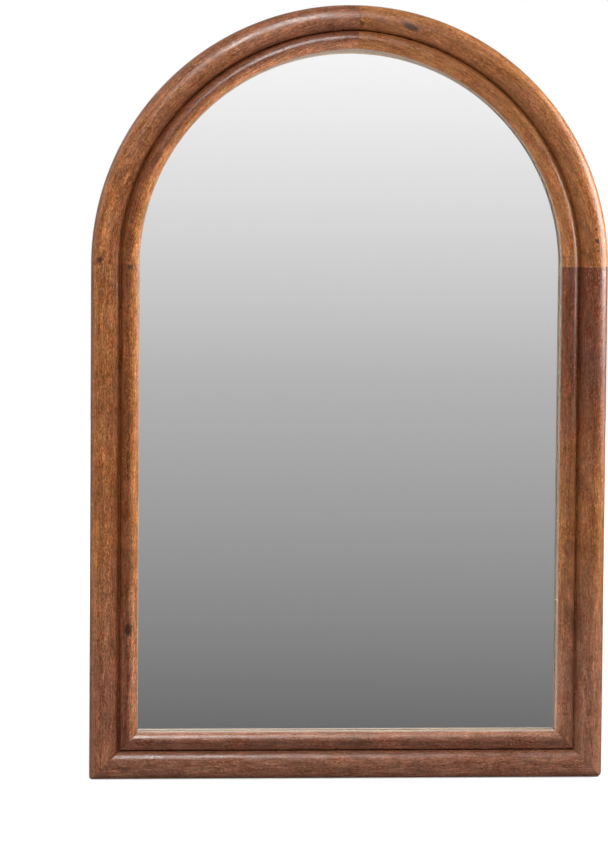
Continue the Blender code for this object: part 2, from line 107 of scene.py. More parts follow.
def ellipse(centre, radius_u, radius_h, start, end, steps, power=2.0):
    """Points (across, forward) on an ellipse, c + (a cos t, b sin t), between two angles t in degrees.

    A power above 2 fills it out towards its corner: sine and cosine are raised to 2 / power.
    """
    t = np.radians(np.linspace(start, end, steps + 1))
    wide = np.sign(np.cos(t)) * np.abs(np.cos(t)) ** (2 / power)
    high = np.sign(np.sin(t)) * np.abs(np.sin(t)) ** (2 / power)
    return np.stack([centre[0] + radius_u * wide, centre[1] + radius_h * high], axis=1)


def moulding():
    """The wood's cross-section as one closed ring of (across, forward) points.

    Each roll is two quarter ellipses that meet at its crest, the outer roll's inner one
    filled out. The groove is a half circle. The inner roll hands over to a quarter round at
    the sight edge where the two have one tangent. Straight lines then step down through the
    rebates to the back.
    """
    half_groove = GROOVE_WIDTH / 2
    outer_centre = (outer_crest, wood_thickness - OUTER_ROLL_RISE)
    inner_rise_axis = INNER_ROLL_WIDTH * INNER_CREST_SHARE
    inner_flank = (INNER_ROLL_WIDTH - inner_rise_axis) * INNER_FLANK_STRETCH_SHARE
    inner_base = wood_thickness - INNER_ROLL_DROP - INNER_ROLL_RISE
    inner_centre = (OUTER_ROLL_WIDTH + inner_rise_axis, inner_base)
    outer_end = math.degrees(math.acos((1 - half_groove / outer_flank) ** (OUTER_FLANK_POWER / 2)))
    inner_start = 180 - math.degrees(math.acos(1 - half_groove / inner_rise_axis))
    t = np.radians(np.linspace(1, 89, HAND_OVER_TRIES))
    slope = np.arctan2(INNER_ROLL_RISE * np.cos(t), inner_flank * np.sin(t))
    reach = inner_centre[0] + inner_flank * np.cos(t) + LIP_RADIUS * (1 - np.sin(slope))
    hand_over = int(np.argmin(np.abs(reach - face_width)))
    lip_top = inner_centre[1] + INNER_ROLL_RISE * math.sin(t[hand_over])
    lip_centre = (face_width - LIP_RADIUS, lip_top - LIP_RADIUS * math.cos(slope[hand_over]))
    groove_centre = (OUTER_ROLL_WIDTH, wood_thickness - GROOVE_DEPTH + half_groove)
    lip_start = 90 - math.degrees(slope[hand_over])
    edge = BACK_EDGE_RADIUS
    flank = (outer_centre, outer_flank, OUTER_ROLL_RISE)
    inner_end = math.degrees(t[hand_over])
    corners = [
        (face_width, glass_seat),
        (glass_rebate, glass_seat),
        (glass_rebate, board_seat),
        (board_rebate, board_seat),
        (board_rebate, 0),
    ]
    return np.concatenate(
        [
            ellipse(outer_centre, outer_crest, OUTER_ROLL_RISE, 180, 90, OUTER_RISE_STEPS),
            ellipse(*flank, 90, outer_end, OUTER_FLANK_STEPS, OUTER_FLANK_POWER)[1:],
            ellipse(groove_centre, half_groove, half_groove, 180, 360, GROOVE_STEPS),
            ellipse(inner_centre, inner_rise_axis, INNER_ROLL_RISE, inner_start, 90, INNER_RISE_STEPS),
            ellipse(inner_centre, inner_flank, INNER_ROLL_RISE, 90, inner_end, INNER_FLANK_STEPS)[1:],
            ellipse(lip_centre, LIP_RADIUS, LIP_RADIUS, lip_start, 0, LIP_STEPS)[1:],
            corners,
            ellipse((edge, edge), edge, edge, 270, 180, BACK_EDGE_STEPS),
        ]
    )


ring = moulding()
across, forward = ring[:, 0], ring[:, 1]
after, before = np.roll(ring, -1, axis=0), np.roll(ring, 1, axis=0)
run = after - before
outward = np.stack([-run[:, 1], run[:, 0]], axis=1) / np.linalg.norm(run, axis=1)[:, None]
on_face = forward > wood_thickness - GLASS_SET_BACK + 2 * JOINT_EASE
follows_rise = np.where(on_face, np.clip((across - outer_crest) / outer_flank, 0, 1), 0)


# Two products of crossing waves: how high each is, then for either wave the radians a metre
# across and up the frame, and where it starts
SANDING_WAVES = (
    (1.0, (61, 23, 1.0), (17, -47, 0.4)),
    (0.6, (131, -71, 2.1), (37, 89, 0.0)),
)


def sanded(points):
    """Lower the face by slow waves of two lengths, as hand sanding leaves it, never above the moulding.

    Each is a product of two sines of the place across and up. Their sum is brought between
    0 and 1, and it fades out below the face.
    """
    x, y, z = points[..., 0], points[..., 1], points[..., 2]
    waves = np.zeros_like(x)
    for height, (a, b, start), (c, d, other_start) in SANDING_WAVES:
        waves += height * np.sin(a * x + b * z + start) * np.sin(c * x + d * z + other_start)
    full = sum(height for height, _, _ in SANDING_WAVES)
    unsanded = (1 - SANDED_SHARE) * wood_thickness
    share = np.clip((-y + back_plane - unsanded) / (SANDED_SHARE * wood_thickness), 0, 1)
    moved = points.copy()
    moved[..., 1] += SANDING_DEPTH * share * (full + waves) / (2 * full)
    return moved


def eased(distance):
    """How far a section is drawn in at this distance from a joint: a small round arris."""
    near = np.clip(1 - distance / JOINT_EASE, 0, 1)
    return JOINT_EASE * (1 - np.sqrt(1 - near**2))


def section(distance):
    """The moulding at each distance from the nearest joint, as (row, point, across and forward)."""
    return ring[None] - outward[None] * eased(distance)[:, None, None]


def spaced(length):
    """Distances along a length, even but for a stretch by both ends where they crowd as a power."""
    close = JOINT_STRETCH * np.linspace(0, 1, JOINT_ROWS + 1) ** JOINT_CROWDING
    rows = max(2, round((length - 2 * JOINT_STRETCH) / ROW_STEP))
    middle = np.linspace(JOINT_STRETCH, length - JOINT_STRETCH, rows)[1:-1]
    return np.concatenate([close, middle, length - close[::-1]])


def to_frame(x, h, z):
    """Points in the frame from a place across, a height forward of the wood's back, and a height."""
    return sanded(np.stack([x, back_plane - h, z], axis=-1))


def mitred_corner(u, run_in, radius):
    """Turn points near a foot corner onto its round: arcs struck about the corner's centre.

    A point u in from the outer edge and run_in up from the other edge keeps its place where
    either is more than the radius, and otherwise lies radius - u from the centre, at an
    angle that grows to 45 degrees at the mitre.
    """
    left = np.maximum(radius - u, 1e-9)
    turn = np.radians(45) * np.clip((radius - run_in) / left, 0, 1)
    round_off = (u < radius) & (run_in < radius)
    across_out = np.where(round_off, radius - left * np.cos(turn), u)
    along_out = np.where(round_off, radius - left * np.sin(turn), run_in)
    return across_out, along_out


def stile_grid(side, radius):
    """A stile: the moulding carried up from the mitre, where height equals inset, to the springline."""
    length = springline - foot
    d = spaced(length)
    s = section(np.minimum(d, length - d))
    u, h = s[..., 0], s[..., 1]
    run_in = across[None] + (length - across[None]) * (d / length)[:, None]
    u, run_in = mitred_corner(u, run_in, radius)
    return to_frame(side * (half_width - u), h, foot + run_in)


def rail_grid():
    """The rail: the moulding carried across between the two mitre planes."""
    length = 2 * half_width
    d = spaced(length)
    s = section(np.minimum(d, length - d))
    u, h = s[..., 0], s[..., 1]
    x = (half_width - across)[None] * (2 * d / length - 1)[:, None]
    radius = np.where(x < 0, LEFT_CORNER_RADIUS, RIGHT_CORNER_RADIUS)
    u, run_in = mitred_corner(u, half_width - np.abs(x), radius)
    return to_frame(np.sign(x) * (half_width - run_in), h, foot + u)


def arch_grid(start, end):
    """A quarter arch: the moulding turned about the arch's centre, its inner part rising to the seam.

    The rise is the apex rise times a power of (1 - cos a) / (1 - cos a_end), for a counted from
    the springline.
    """
    length = abs(end - start) * half_width
    d = spaced(length)
    angle = start + (end - start) * d / length
    from_spring = angle if start == 0 else math.pi - angle
    reach = seam_angle if start == 0 else math.pi - seam_angle
    rise = APEX_RISE * ((1 - np.cos(from_spring)) / (1 - math.cos(reach))) ** APEX_POINT_POWER
    s = section(np.minimum(d, length - d))
    radius = half_width - s[..., 0] + follows_rise[None] * rise[:, None]
    x = -np.cos(angle)[:, None] * radius
    z = springline + np.sin(angle)[:, None] * radius
    return to_frame(x, s[..., 1], z)


def closed_mesh(name, grid, looped=False, smooth_deg=40.0, **attributes):
    """A piece from a grid whose rows are closed rings, with both ends capped unless it is looped."""
    rows, columns = grid.shape[:2]
    index = np.arange(rows * columns).reshape(rows, columns)
    low = index if looped else index[:-1]
    high = np.roll(index, -1, axis=0) if looped else index[1:]
    quads = np.stack([low, np.roll(low, -1, 1), np.roll(high, -1, 1), high], axis=-1)
    faces = quads.reshape(-1, 4).tolist()
    if not looped:
        faces += [index[0, ::-1].tolist(), index[-1].tolist()]
    mesh = bpy.data.meshes.new(name)
    mesh.from_pydata(grid.reshape(-1, 3).tolist(), [], faces)
    for key, values in attributes.items():
        held = mesh.attributes.new(key, "FLOAT", "POINT")
        spread = np.broadcast_to(values, (rows, columns)).astype(np.float32)
        held.data.foreach_set("value", spread.ravel())
    shape = bmesh.new()
    shape.from_mesh(mesh)
    bmesh.ops.remove_doubles(shape, verts=shape.verts[:], dist=WELD_DISTANCE)
    bmesh.ops.recalc_face_normals(shape, faces=shape.faces[:])
    shape.to_mesh(mesh)
    shape.free()
    mesh.shade_smooth()
    mesh.set_sharp_from_angle(angle=math.radians(smooth_deg))
    piece = bpy.data.objects.new(name, mesh)
    bpy.context.scene.collection.objects.link(piece)
    return piece


def linear(hex_colour):
    """An sRGB colour such as '8A5A3C' as linear red, green, blue and alpha."""
    channels = [int(hex_colour[i : i + 2], 16) / 255 for i in (0, 2, 4)]
    light = [c / 12.92 if c <= 0.04045 else ((c + 0.055) / 1.055) ** 2.4 for c in channels]
    return (*light, 1.0)


def node(tree, kind, sockets=None, stops=(), **settings):
    """Add one node with its settings, and fill its sockets with values or with links.

    A socket that is given a node takes that node's first output. Stops are a colour ramp's
    places with their hex colours.
    """
    made = tree.nodes.new(kind)
    for key, value in settings.items():
        setattr(made, key, value)
    for socket, value in (sockets or {}).items():
        if isinstance(value, bpy.types.Node):
            value = value.outputs[0]
        if isinstance(value, bpy.types.NodeSocket):
            tree.links.new(value, made.inputs[socket])
        else:
            made.inputs[socket].default_value = value
    for _ in stops[2:]:
        made.color_ramp.elements.new(0.5)
    for element, (place, colour) in zip(made.color_ramp.elements if stops else (), stops):
        element.position = place
        element.color = linear(colour)
    return made


def new_material(name):
    """A material with an empty node tree but for its output, and that tree and output."""
    material = bpy.data.materials.new(name)
    material.use_nodes = True
    tree = material.node_tree
    tree.nodes.clear()
    return material, tree, node(tree, "ShaderNodeOutputMaterial")


# How the grain is built up, as the size of each layer's features along, across and through
# the board in metres, its detail, and how much it adds to the tone. The fibres and flecks
# are drawn about twice as coarse as real pores, so that they show
GRAIN = {
    "patch": ((0.060, 0.018, 0.030), 2.0, 0.28),
    "figure": ((0.012, 0.022, 0.030), 2.0, 0.24),
    "band": ((0.090, 0.0035, 0.0060), 1.5, 0.34),
    "fibre": ((0.0200, 0.0010, 0.0016), 3.0, 0.90),
    "fleck": ((0.0032, 0.0006, 0.0010), 1.0, 1.35),
}
WANDER_SIZE = (0.070, 0.016, 0.020)
WANDER_REACH = 0.006
HUE_SIZE = (0.014, 0.007, 0.010)
HUE_PLACES = (0.3, 0.5, 0.7)
HUES = ("F8FFF0", "FFFFFF", "FFF0E8")
RING_SPACING = 0.0045
RING_STRETCH = 0.035
RING_WAVE_SIZE = (0.050, 0.012, 0.012)
RING_WAVE_REACH = 3.0
RING_WEIGHT = 0.13
TONE_SHIFT = -0.11
# How far the lip is paled: worn stain and a painted highlight together
LIP_WEAR_AND_SHEEN = 0.45
PITH = (0.0, 0.05, 0.03)
PORE_LEVELS = (0.60, 0.70)
PORE_WEIGHT = -0.10
PORE_DEPTH = -0.6
KNOT_PUSH = 2.5
KNOT_REACH = 2.6
KNOT_EDGE = (1.25, 0.45)
GLOSS_SIZE = (0.030, 0.012, 0.020)
GLOSS_LEVELS = (0.21, 0.39)
DULL_PORE = 0.12
DULL_BACK = 0.25
GRAIN_RELIEF = 0.00035
RELIEF_STRENGTH = 0.45
RUBBED_LEVELS = (0.3, 0.7)
TINT_RAGGEDNESS = 0.04
TONE_REACH = 0.18
DEPTH_TONES = (-0.6, 0.1)
DEEP_TINT = "FFEAD2"
KNOT_COLOUR = "2A1B15"
# The lip's pale colour: worn stain and a painted highlight together
WORN_AND_SHEEN_COLOUR = "E4D6CA"
BARE_COLOUR = "E8CCA6"
BARE_SWING = 2.2
face_depth = back_plane - 0.9 * wood_thickness


def grain_place(x, z, middle, lean_deg, bend):
    """A place on the face in grain space: turned to the fibres, then unrolled about the bend."""
    off = Matrix.Rotation(math.radians(lean_deg), 3, "Y") @ (Vector((x, face_depth, z)) - Vector(middle))
    if not bend:
        return off
    return Vector((bend * math.atan2(off.x, off.z), off.y, math.hypot(off.x, off.z) - bend))


def stained_hardwood(name, middle, lean_deg, bend, tones, stain_light_and_shade, swing, seed, marks):
    """Walnut-stained hardwood under satin lacquer.

    The grain is worked out in the board's own solid space, where X runs along the fibres:
    growth rings about a pith that lies outside the board, fine fibres and dark pores drawn
    out along X, slow patches of stain, and knots that push the rings aside. In the arches the
    fibres lean over with the curve, on circles of the bend's radius. The colour is the wood's
    own, which goes through its tones in even steps along the board, times the stain across
    the moulding, which also holds painted shade and painted highlights, times swing to the
    power of the grain's tone.
    """
    material, tree, output = new_material(name)
    place = node(tree, "ShaderNodeTexCoord").outputs["Object"]
    turn = (0, math.radians(-lean_deg), 0)
    settings = {"Vector": place, "Location": middle, "Rotation": turn}
    board = node(tree, "ShaderNodeMapping", settings, vector_type="TEXTURE")
    if bend:
        apart = node(tree, "ShaderNodeSeparateXYZ", {0: board})
        level = node(tree, "ShaderNodeVectorMath", {0: board, 1: (1.0, 0.0, 1.0)}, operation="MULTIPLY")
        reach = node(tree, "ShaderNodeVectorMath", {0: level}, operation="LENGTH").outputs["Value"]
        swept = {0: apart.outputs["X"], 1: apart.outputs["Z"]}
        swept = node(tree, "ShaderNodeMath", swept, operation="ARCTAN2")
        run = node(tree, "ShaderNodeMath", {0: swept, 1: bend}, operation="MULTIPLY")
        out = node(tree, "ShaderNodeMath", {0: reach, 1: bend}, operation="SUBTRACT")
        board = node(tree, "ShaderNodeCombineXYZ", {"X": run, "Y": apart.outputs["Y"], "Z": out})

    # Fibres wander by a few millimetres
    scale = [1 / size for size in WANDER_SIZE]
    wide = node(tree, "ShaderNodeMapping", {"Vector": board, "Location": (seed, 0, 0), "Scale": scale})
    drift = node(tree, "ShaderNodeTexNoise", {"Vector": wide, "Scale": 1.0, "Detail": 2.0})
    drift = {0: drift.outputs["Color"], 1: (0.5, 0.5, 0.5)}
    centred = node(tree, "ShaderNodeVectorMath", drift, operation="SUBTRACT")
    sway = {0: centred, 1: (0.0, WANDER_REACH, WANDER_REACH), 2: board}
    bent = node(tree, "ShaderNodeVectorMath", sway, operation="MULTIPLY_ADD")

    # Layers of tone from patches down to flecks, and two slow drifts, of hue and of gloss
    layers = {}
    tone = TONE_SHIFT - (RING_WEIGHT + sum(weight for _, _, weight in GRAIN.values())) / 2
    for number, (word, (size, detail, weight)) in enumerate(GRAIN.items(), 1):
        scale = [1 / length for length in size]
        start = (seed + 3.1 * number, 1.7 * seed - number, 0.7 * number)
        spread = node(tree, "ShaderNodeMapping", {"Vector": bent, "Location": start, "Scale": scale})
        noise = node(tree, "ShaderNodeTexNoise", {"Vector": spread, "Scale": 1.0, "Detail": detail})
        tone = node(tree, "ShaderNodeMath", {0: noise, 1: weight, 2: tone}, operation="MULTIPLY_ADD")
        layers[word] = noise
    for word, size, start in (("hue", HUE_SIZE, (4.4, seed, 0)), ("rub", GLOSS_SIZE, (seed, 9.9, 0))):
        scale = [1 / length for length in size]
        wide = node(tree, "ShaderNodeMapping", {"Vector": bent, "Location": start, "Scale": scale})
        layers[word] = node(tree, "ShaderNodeTexNoise", {"Vector": wide, "Scale": 1.0, "Detail": 2.0})

    # Growth rings, pushed aside by the knots
    off_pith = {0: bent, 1: (RING_STRETCH, 1.0, 1.0), 2: [-p for p in PITH]}
    off_pith = node(tree, "ShaderNodeVectorMath", off_pith, operation="MULTIPLY_ADD")
    radial = node(tree, "ShaderNodeVectorMath", {0: off_pith}, operation="LENGTH").outputs["Value"]
    scale = [1 / size for size in RING_WAVE_SIZE]
    wide = node(tree, "ShaderNodeMapping", {"Vector": board, "Location": (seed, 7.3, 0), "Scale": scale})
    wave = node(tree, "ShaderNodeTexNoise", {"Vector": wide, "Scale": 1.0, "Detail": 3.0})
    wave = node(tree, "ShaderNodeMath", {0: wave, 1: RING_WAVE_REACH}, operation="MULTIPLY")
    phase = {0: radial, 1: 1 / RING_SPACING, 2: wave}
    phase = node(tree, "ShaderNodeMath", phase, operation="MULTIPLY_ADD")
    core = None
    for x, z, half_length, half_depth, half_width_of_mark, darkness in marks:
        centre = grain_place(x, z, middle, lean_deg, bend)
        off = node(tree, "ShaderNodeVectorMath", {0: bent, 1: centre}, operation="SUBTRACT")
        shares = (1 / half_length, 1 / half_depth, 1 / half_width_of_mark)
        scaled = node(tree, "ShaderNodeVectorMath", {0: off, 1: shares}, operation="MULTIPLY")
        away = node(tree, "ShaderNodeVectorMath", {0: scaled}, operation="LENGTH").outputs["Value"]
        push = {"Value": away, "From Min": KNOT_REACH, "From Max": 0.0, "To Max": KNOT_PUSH}
        push = node(tree, "ShaderNodeMapRange", push, interpolation_type="SMOOTHSTEP")
        phase = node(tree, "ShaderNodeMath", {0: phase, 1: push}, operation="ADD")
        dark = {"Value": away, "From Min": KNOT_EDGE[0], "From Max": KNOT_EDGE[1], "To Max": darkness}
        dark = node(tree, "ShaderNodeMapRange", dark, interpolation_type="SMOOTHSTEP")
        if core is not None:
            dark = node(tree, "ShaderNodeMath", {0: core, 1: dark}, operation="MAXIMUM")
        core = dark
    rings = node(tree, "ShaderNodeMath", {0: phase, 1: 1.0}, operation="PINGPONG")
    tone = node(tree, "ShaderNodeMath", {0: rings, 1: RING_WEIGHT, 2: tone}, operation="MULTIPLY_ADD")
    levels = {"Value": layers["fleck"], "From Min": PORE_LEVELS[0], "From Max": PORE_LEVELS[1]}
    pores = node(tree, "ShaderNodeMapRange", levels, interpolation_type="SMOOTHSTEP")
    tone = node(tree, "ShaderNodeMath", {0: pores, 1: PORE_WEIGHT, 2: tone}, operation="MULTIPLY_ADD")
    gain = node(tree, "ShaderNodeMath", {0: swing, 1: tone}, operation="POWER")

    # The wood's own colour, the stain with its painted shade and highlights, a slow drift of hue
    # and a warmer tint in the dark grain. Over them come the pale lip, paled nearly to bare wood
    # by worn stain and a painted highlight together, the bare back, and the knots
    run = node(tree, "ShaderNodeSeparateXYZ", {0: board}).outputs["X"]
    shift = TINT_RAGGEDNESS / 2
    loose = {0: layers["patch"], 1: TINT_RAGGEDNESS, 2: run}
    loose = node(tree, "ShaderNodeMath", loose, operation="MULTIPLY_ADD")
    limits = {"Value": loose, "From Min": shift - TONE_REACH, "From Max": shift + TONE_REACH}
    share = node(tree, "ShaderNodeMapRange", limits)
    stops = list(zip(np.linspace(0, 1, len(tones)), tones))
    colour = node(tree, "ShaderNodeValToRGB", {0: share}, stops=stops)
    inset = node(tree, "ShaderNodeAttribute", attribute_name="inset").outputs["Fac"]
    # The stain ramp across the moulding, which also holds painted shade and painted highlights
    stops = [(at / face_width, stain_and_light_level) for at, stain_and_light_level in stain_light_and_shade]
    stain_light_and_shade = node(tree, "ShaderNodeValToRGB", {0: inset}, stops=stops)
    hue = node(tree, "ShaderNodeValToRGB", {0: layers["hue"]}, stops=list(zip(HUE_PLACES, HUES)))
    depth = {"Value": tone, "From Min": DEPTH_TONES[0], "From Max": DEPTH_TONES[1]}
    depth = node(tree, "ShaderNodeMapRange", depth)
    deepened = node(tree, "ShaderNodeValToRGB", {0: depth}, stops=[(0.0, DEEP_TINT), (1.0, "FFFFFF")])
    for layer in (stain_light_and_shade, hue, deepened):
        tinted = {0: 1.0, 6: colour, 7: layer}
        colour = node(tree, "ShaderNodeMix", tinted, data_type="RGBA", blend_type="MULTIPLY").outputs[2]
    bare = node(tree, "ShaderNodeAttribute", attribute_name="bare").outputs["Fac"]
    colour = node(tree, "ShaderNodeVectorMath", {0: colour, "Scale": gain}, operation="SCALE").outputs[0]
    gain = node(tree, "ShaderNodeMath", {0: BARE_SWING, 1: tone}, operation="POWER")
    # The lip's pale colour is worn stain and a painted highlight together; the back and rebates are bare
    # wood
    stops = [(LIP_WEAR_AND_SHEEN, WORN_AND_SHEEN_COLOUR), (1.0, BARE_COLOUR)]
    raw_wood_and_sheen = node(tree, "ShaderNodeValToRGB", {0: bare}, stops=stops)
    raw_wood_and_sheen = {0: raw_wood_and_sheen, "Scale": gain}
    raw_wood_and_sheen = node(tree, "ShaderNodeVectorMath", raw_wood_and_sheen, operation="SCALE").outputs[0]
    colour = node(tree, "ShaderNodeMix", {0: bare, 6: colour, 7: raw_wood_and_sheen}, data_type="RGBA").outputs[2]
    if core is not None:
        knotted = {0: core, 6: colour, 7: linear(KNOT_COLOUR)}
        colour = node(tree, "ShaderNodeMix", knotted, data_type="RGBA").outputs[2]

    # Lacquer: satin, a little rougher where it has sunk into the pores, and none on the back
    height = {0: pores, 1: PORE_DEPTH, 2: layers["fibre"]}
    height = node(tree, "ShaderNodeMath", height, operation="MULTIPLY_ADD")
    bump = {"Strength": RELIEF_STRENGTH, "Distance": GRAIN_RELIEF, "Height": height}
    bump = node(tree, "ShaderNodeBump", bump)
    limits = {"Value": layers["rub"], "From Min": RUBBED_LEVELS[0], "From Max": RUBBED_LEVELS[1]}
    limits.update({"To Min": GLOSS_LEVELS[0], "To Max": GLOSS_LEVELS[1]})
    gloss = node(tree, "ShaderNodeMapRange", limits)
    gloss = node(tree, "ShaderNodeMath", {0: pores, 1: DULL_PORE, 2: gloss}, operation="MULTIPLY_ADD")
    gloss = node(tree, "ShaderNodeMath", {0: bare, 1: DULL_BACK, 2: gloss}, operation="MULTIPLY_ADD")
    lacquer = {"Base Color": colour, "Roughness": gloss, "Normal": bump, "IOR": 1.5}
    tree.links.new(node(tree, "ShaderNodeBsdfPrincipled", lacquer).outputs[0], output.inputs["Surface"])
    return material


inset_share = np.clip(across / face_width, 0, 1) * on_face
in_rebate = (forward < glass_seat + JOINT_EASE) & (across > board_rebate - JOINT_EASE)
on_lip = np.clip((across - face_width + LIP_RADIUS) / LIP_RADIUS, 0, 1) * on_face
# On the lip the share is worn stain and a painted highlight together; rebates and back are bare wood
bare_share = np.where(in_rebate | (forward < JOINT_EASE), 1.0, LIP_WEAR_AND_SHEEN * on_lip)
middle_of_face = half_width - face_width / 2
ARCH_GRAIN_SHIFT = 0.4
arch_bend = middle_of_face * (1 + ARCH_GRAIN_SHIFT)
grain_centre = ARCH_GRAIN_SHIFT * middle_of_face / math.sqrt(2)

# Each mark is a place across and up in the frame, half a length along the grain, half a
# depth into the wood, half a width across the grain, and how dark it is. The last one on the
# right arch is the glue line at the apex
MARKS_LEFT_STILE = [
    (-0.2600, -0.377, 0.0080, 0.0300, 0.0048, 0.85),
    (-0.2590, 0.0500, 0.0040, 0.0200, 0.0030, 0.7),
]
MARKS_LEFT_ARCH = [
    (-0.2950, 0.0575, 0.0050, 0.0200, 0.0036, 0.75),
    (-0.2710, 0.1540, 0.0120, 0.0300, 0.0080, 0.15),
    (-0.1850, 0.2780, 0.0100, 0.0300, 0.0060, 0.25),
]
MARKS_RIGHT_ARCH = [
    (0.0674, 0.3320, 0.0115, 0.0300, 0.0038, 0.85),
    (0.2890, 0.0970, 0.0022, 0.0200, 0.0016, 0.8),
    (0.2905, 0.0829, 0.0036, 0.0200, 0.0026, 0.8),
    (0.2918, 0.0715, 0.0018, 0.0200, 0.0016, 0.85),
    (0.0085, 0.3350, 0.0042, 0.0200, 0.0040, 0.5),
    (0.0070, 0.3410, 0.0007, 0.0300, 0.0200, 0.5),
]
MARKS_RIGHT_STILE = [
    (0.2750, -0.2070, 0.0140, 0.0300, 0.0100, 0.25),
    (0.2650, -0.2800, 0.0100, 0.0300, 0.0120, 0.25),
    (0.2700, -0.3670, 0.0220, 0.0300, 0.0130, 0.30),
]

# The wood's own tones, and how much of their light the stain lets through where it is worn
# thin, where it is even and where it has gathered. The thin level also stands for a painted
# highlight on lit edges and lips, and the deep level also for painted shade
TAN = "D89058"
BROWN = "C08050"
PINK_BROWN = "C88868"
GREY_BROWN = "B88068"
DARK_BROWN = "905840"
# How wide the pale band along the left pieces' lip is: worn stain together with a painted highlight
# where the lip faces the lamps on the right
WORN_AND_SHEEN_WIDTH = 0.005
THIN_STAIN_AND_SHEEN = "E8E8E0"
EVEN = "B8B0A8"
DEEP_STAIN_AND_SHADE = "988880"

# The stain from the outer edge to the lip, with painted light and shade in it. On the left it
# is dark from the groove to the inner crest, which is painted shade where the inner roll
# hides the valley from the lamps on the right, and pale at the lip, which is worn stain and a
# painted highlight together. On the right it is pale at both edges: along the outer edge a
# painted highlight of the lamps on the right, at the lip worn stain and a painted highlight.
# On the rail it is darkest on the inner crest and pale at the lip
inner_crest = OUTER_ROLL_WIDTH + INNER_ROLL_WIDTH * INNER_CREST_SHARE
LEFT_STAIN_SHADE_AND_SHEEN = (
    (0.0, EVEN),
    (outer_crest, EVEN),
    (OUTER_ROLL_WIDTH, DEEP_STAIN_AND_SHADE),
    (inner_crest, DEEP_STAIN_AND_SHADE),
    (face_width - WORN_AND_SHEEN_WIDTH, THIN_STAIN_AND_SHEEN),
)
RIGHT_STAIN_AND_SHEEN = ((0.0, THIN_STAIN_AND_SHEEN), (outer_crest, EVEN), (inner_crest, EVEN), (face_width, THIN_STAIN_AND_SHEEN))
RAIL_STAIN_AND_SHEEN = ((0.0, EVEN), (OUTER_ROLL_WIDTH, EVEN), (inner_crest, DEEP_STAIN_AND_SHADE), (face_width, THIN_STAIN_AND_SHEEN))

# Each piece's slot, the middle, lean and bend of its grain, its tones from the low end of the
# grain's X to the high one, its stain with the painted light and shade in it, how far its
# tone swings, its seed and its marks
WOODS = {
    "left_stile": dict(
        slot="stile_wood_left",
        middle=(-middle_of_face, 0, (foot + springline) / 2),
        lean_deg=90.0,
        bend=0.0,
        tones=(PINK_BROWN, TAN, TAN),
        stain_light_and_shade=LEFT_STAIN_SHADE_AND_SHEEN,
        swing=8.0,
        seed=2.0,
        marks=MARKS_LEFT_STILE,
    ),
    "right_stile": dict(
        slot="stile_wood_right",
        middle=(middle_of_face, 0, (foot + springline) / 2),
        lean_deg=90.0,
        bend=0.0,
        tones=(GREY_BROWN, BROWN, DARK_BROWN),
        stain_light_and_shade=RIGHT_STAIN_AND_SHEEN,
        swing=5.5,
        seed=5.0,
        marks=MARKS_RIGHT_STILE,
    ),
    "bottom_rail": dict(
        slot="rail_wood",
        middle=(0, 0, foot + face_width / 2),
        lean_deg=0.0,
        bend=0.0,
        tones=(GREY_BROWN, GREY_BROWN),
        stain_light_and_shade=RAIL_STAIN_AND_SHEEN,
        swing=6.5,
        seed=9.0,
        marks=(),
    ),
    "left_arch": dict(
        slot="arch_wood_left",
        middle=(grain_centre, 0, springline - grain_centre),
        lean_deg=45.0,
        bend=arch_bend,
        tones=(TAN, PINK_BROWN),
        stain_light_and_shade=LEFT_STAIN_SHADE_AND_SHEEN,
        swing=8.0,
        seed=13.0,
        marks=MARKS_LEFT_ARCH,
    ),
    "right_arch": dict(
        slot="arch_wood_right",
        middle=(-grain_centre, 0, springline - grain_centre),
        lean_deg=-45.0,
        bend=arch_bend,
        tones=(BROWN, BROWN),
        stain_light_and_shade=RIGHT_STAIN_AND_SHEEN,
        swing=5.5,
        seed=17.0,
        marks=MARKS_RIGHT_ARCH,
    ),
}
GRIDS = {
    "left_stile": stile_grid(-1, LEFT_CORNER_RADIUS),
    "right_stile": stile_grid(1, RIGHT_CORNER_RADIUS),
    "bottom_rail": rail_grid(),
    "left_arch": arch_grid(0, seam_angle),
    "right_arch": arch_grid(math.pi, seam_angle),
}
for name, wood in WOODS.items():
    piece = closed_mesh(f"{name}_wood", GRIDS[name], inset=inset_share, bare=bare_share)
    slot = wood.pop("slot")
    piece.data.materials.append(stained_hardwood(f"stained_hardwood_{name}", **wood))
    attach(piece, "frame")
    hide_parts(name)

# The mirror glass
# A 4 mm float glass plate, silvered on its back. It lies against the shelf behind the lip,
# and its edge is ground and hidden in the rebate.

SILVER_THICKNESS = 0.0002
SILVER_GAP = 0.00004
GLASS_CHAMFER = 0.0006
ARCH_STEPS = 96
glass_low, glass_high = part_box("mirror_glass")
glass_inset = half_width - glass_high.x


def arched_ring(inset):
    """The frame's outline drawn in by an inset: a half circle over straight sides and a square foot."""
    t = np.linspace(0, np.pi, ARCH_STEPS + 1)
    radius = half_width - inset
    arch = np.stack([radius * np.cos(t), springline + radius * np.sin(t)], axis=1)
    feet = np.array([(-radius, foot + inset), (radius, foot + inset)])
    return np.concatenate([arch, feet])


def arched_plate(name, levels):
    """A flat arched plate from (inset, y) levels, front to back."""
    rings = [arched_ring(inset) for inset, _ in levels]
    grid = np.stack(
        [np.stack([r[:, 0], np.full(len(r), y), r[:, 1]], axis=1) for r, (_, y) in zip(rings, levels)]
    )
    return closed_mesh(name, grid, smooth_deg=30.0)


def float_glass():
    """Clear float glass: smooth and colourless."""
    material, tree, output = new_material("float_glass")
    shader = node(
        tree,
        "ShaderNodeBsdfPrincipled",
        {
            "Base Color": linear("FFFFFF"),
            "Roughness": 0.0,
            "IOR": 1.52,
            "Transmission Weight": 1.0,
        },
    )
    tree.links.new(shader.outputs[0], output.inputs["Surface"])
    return material


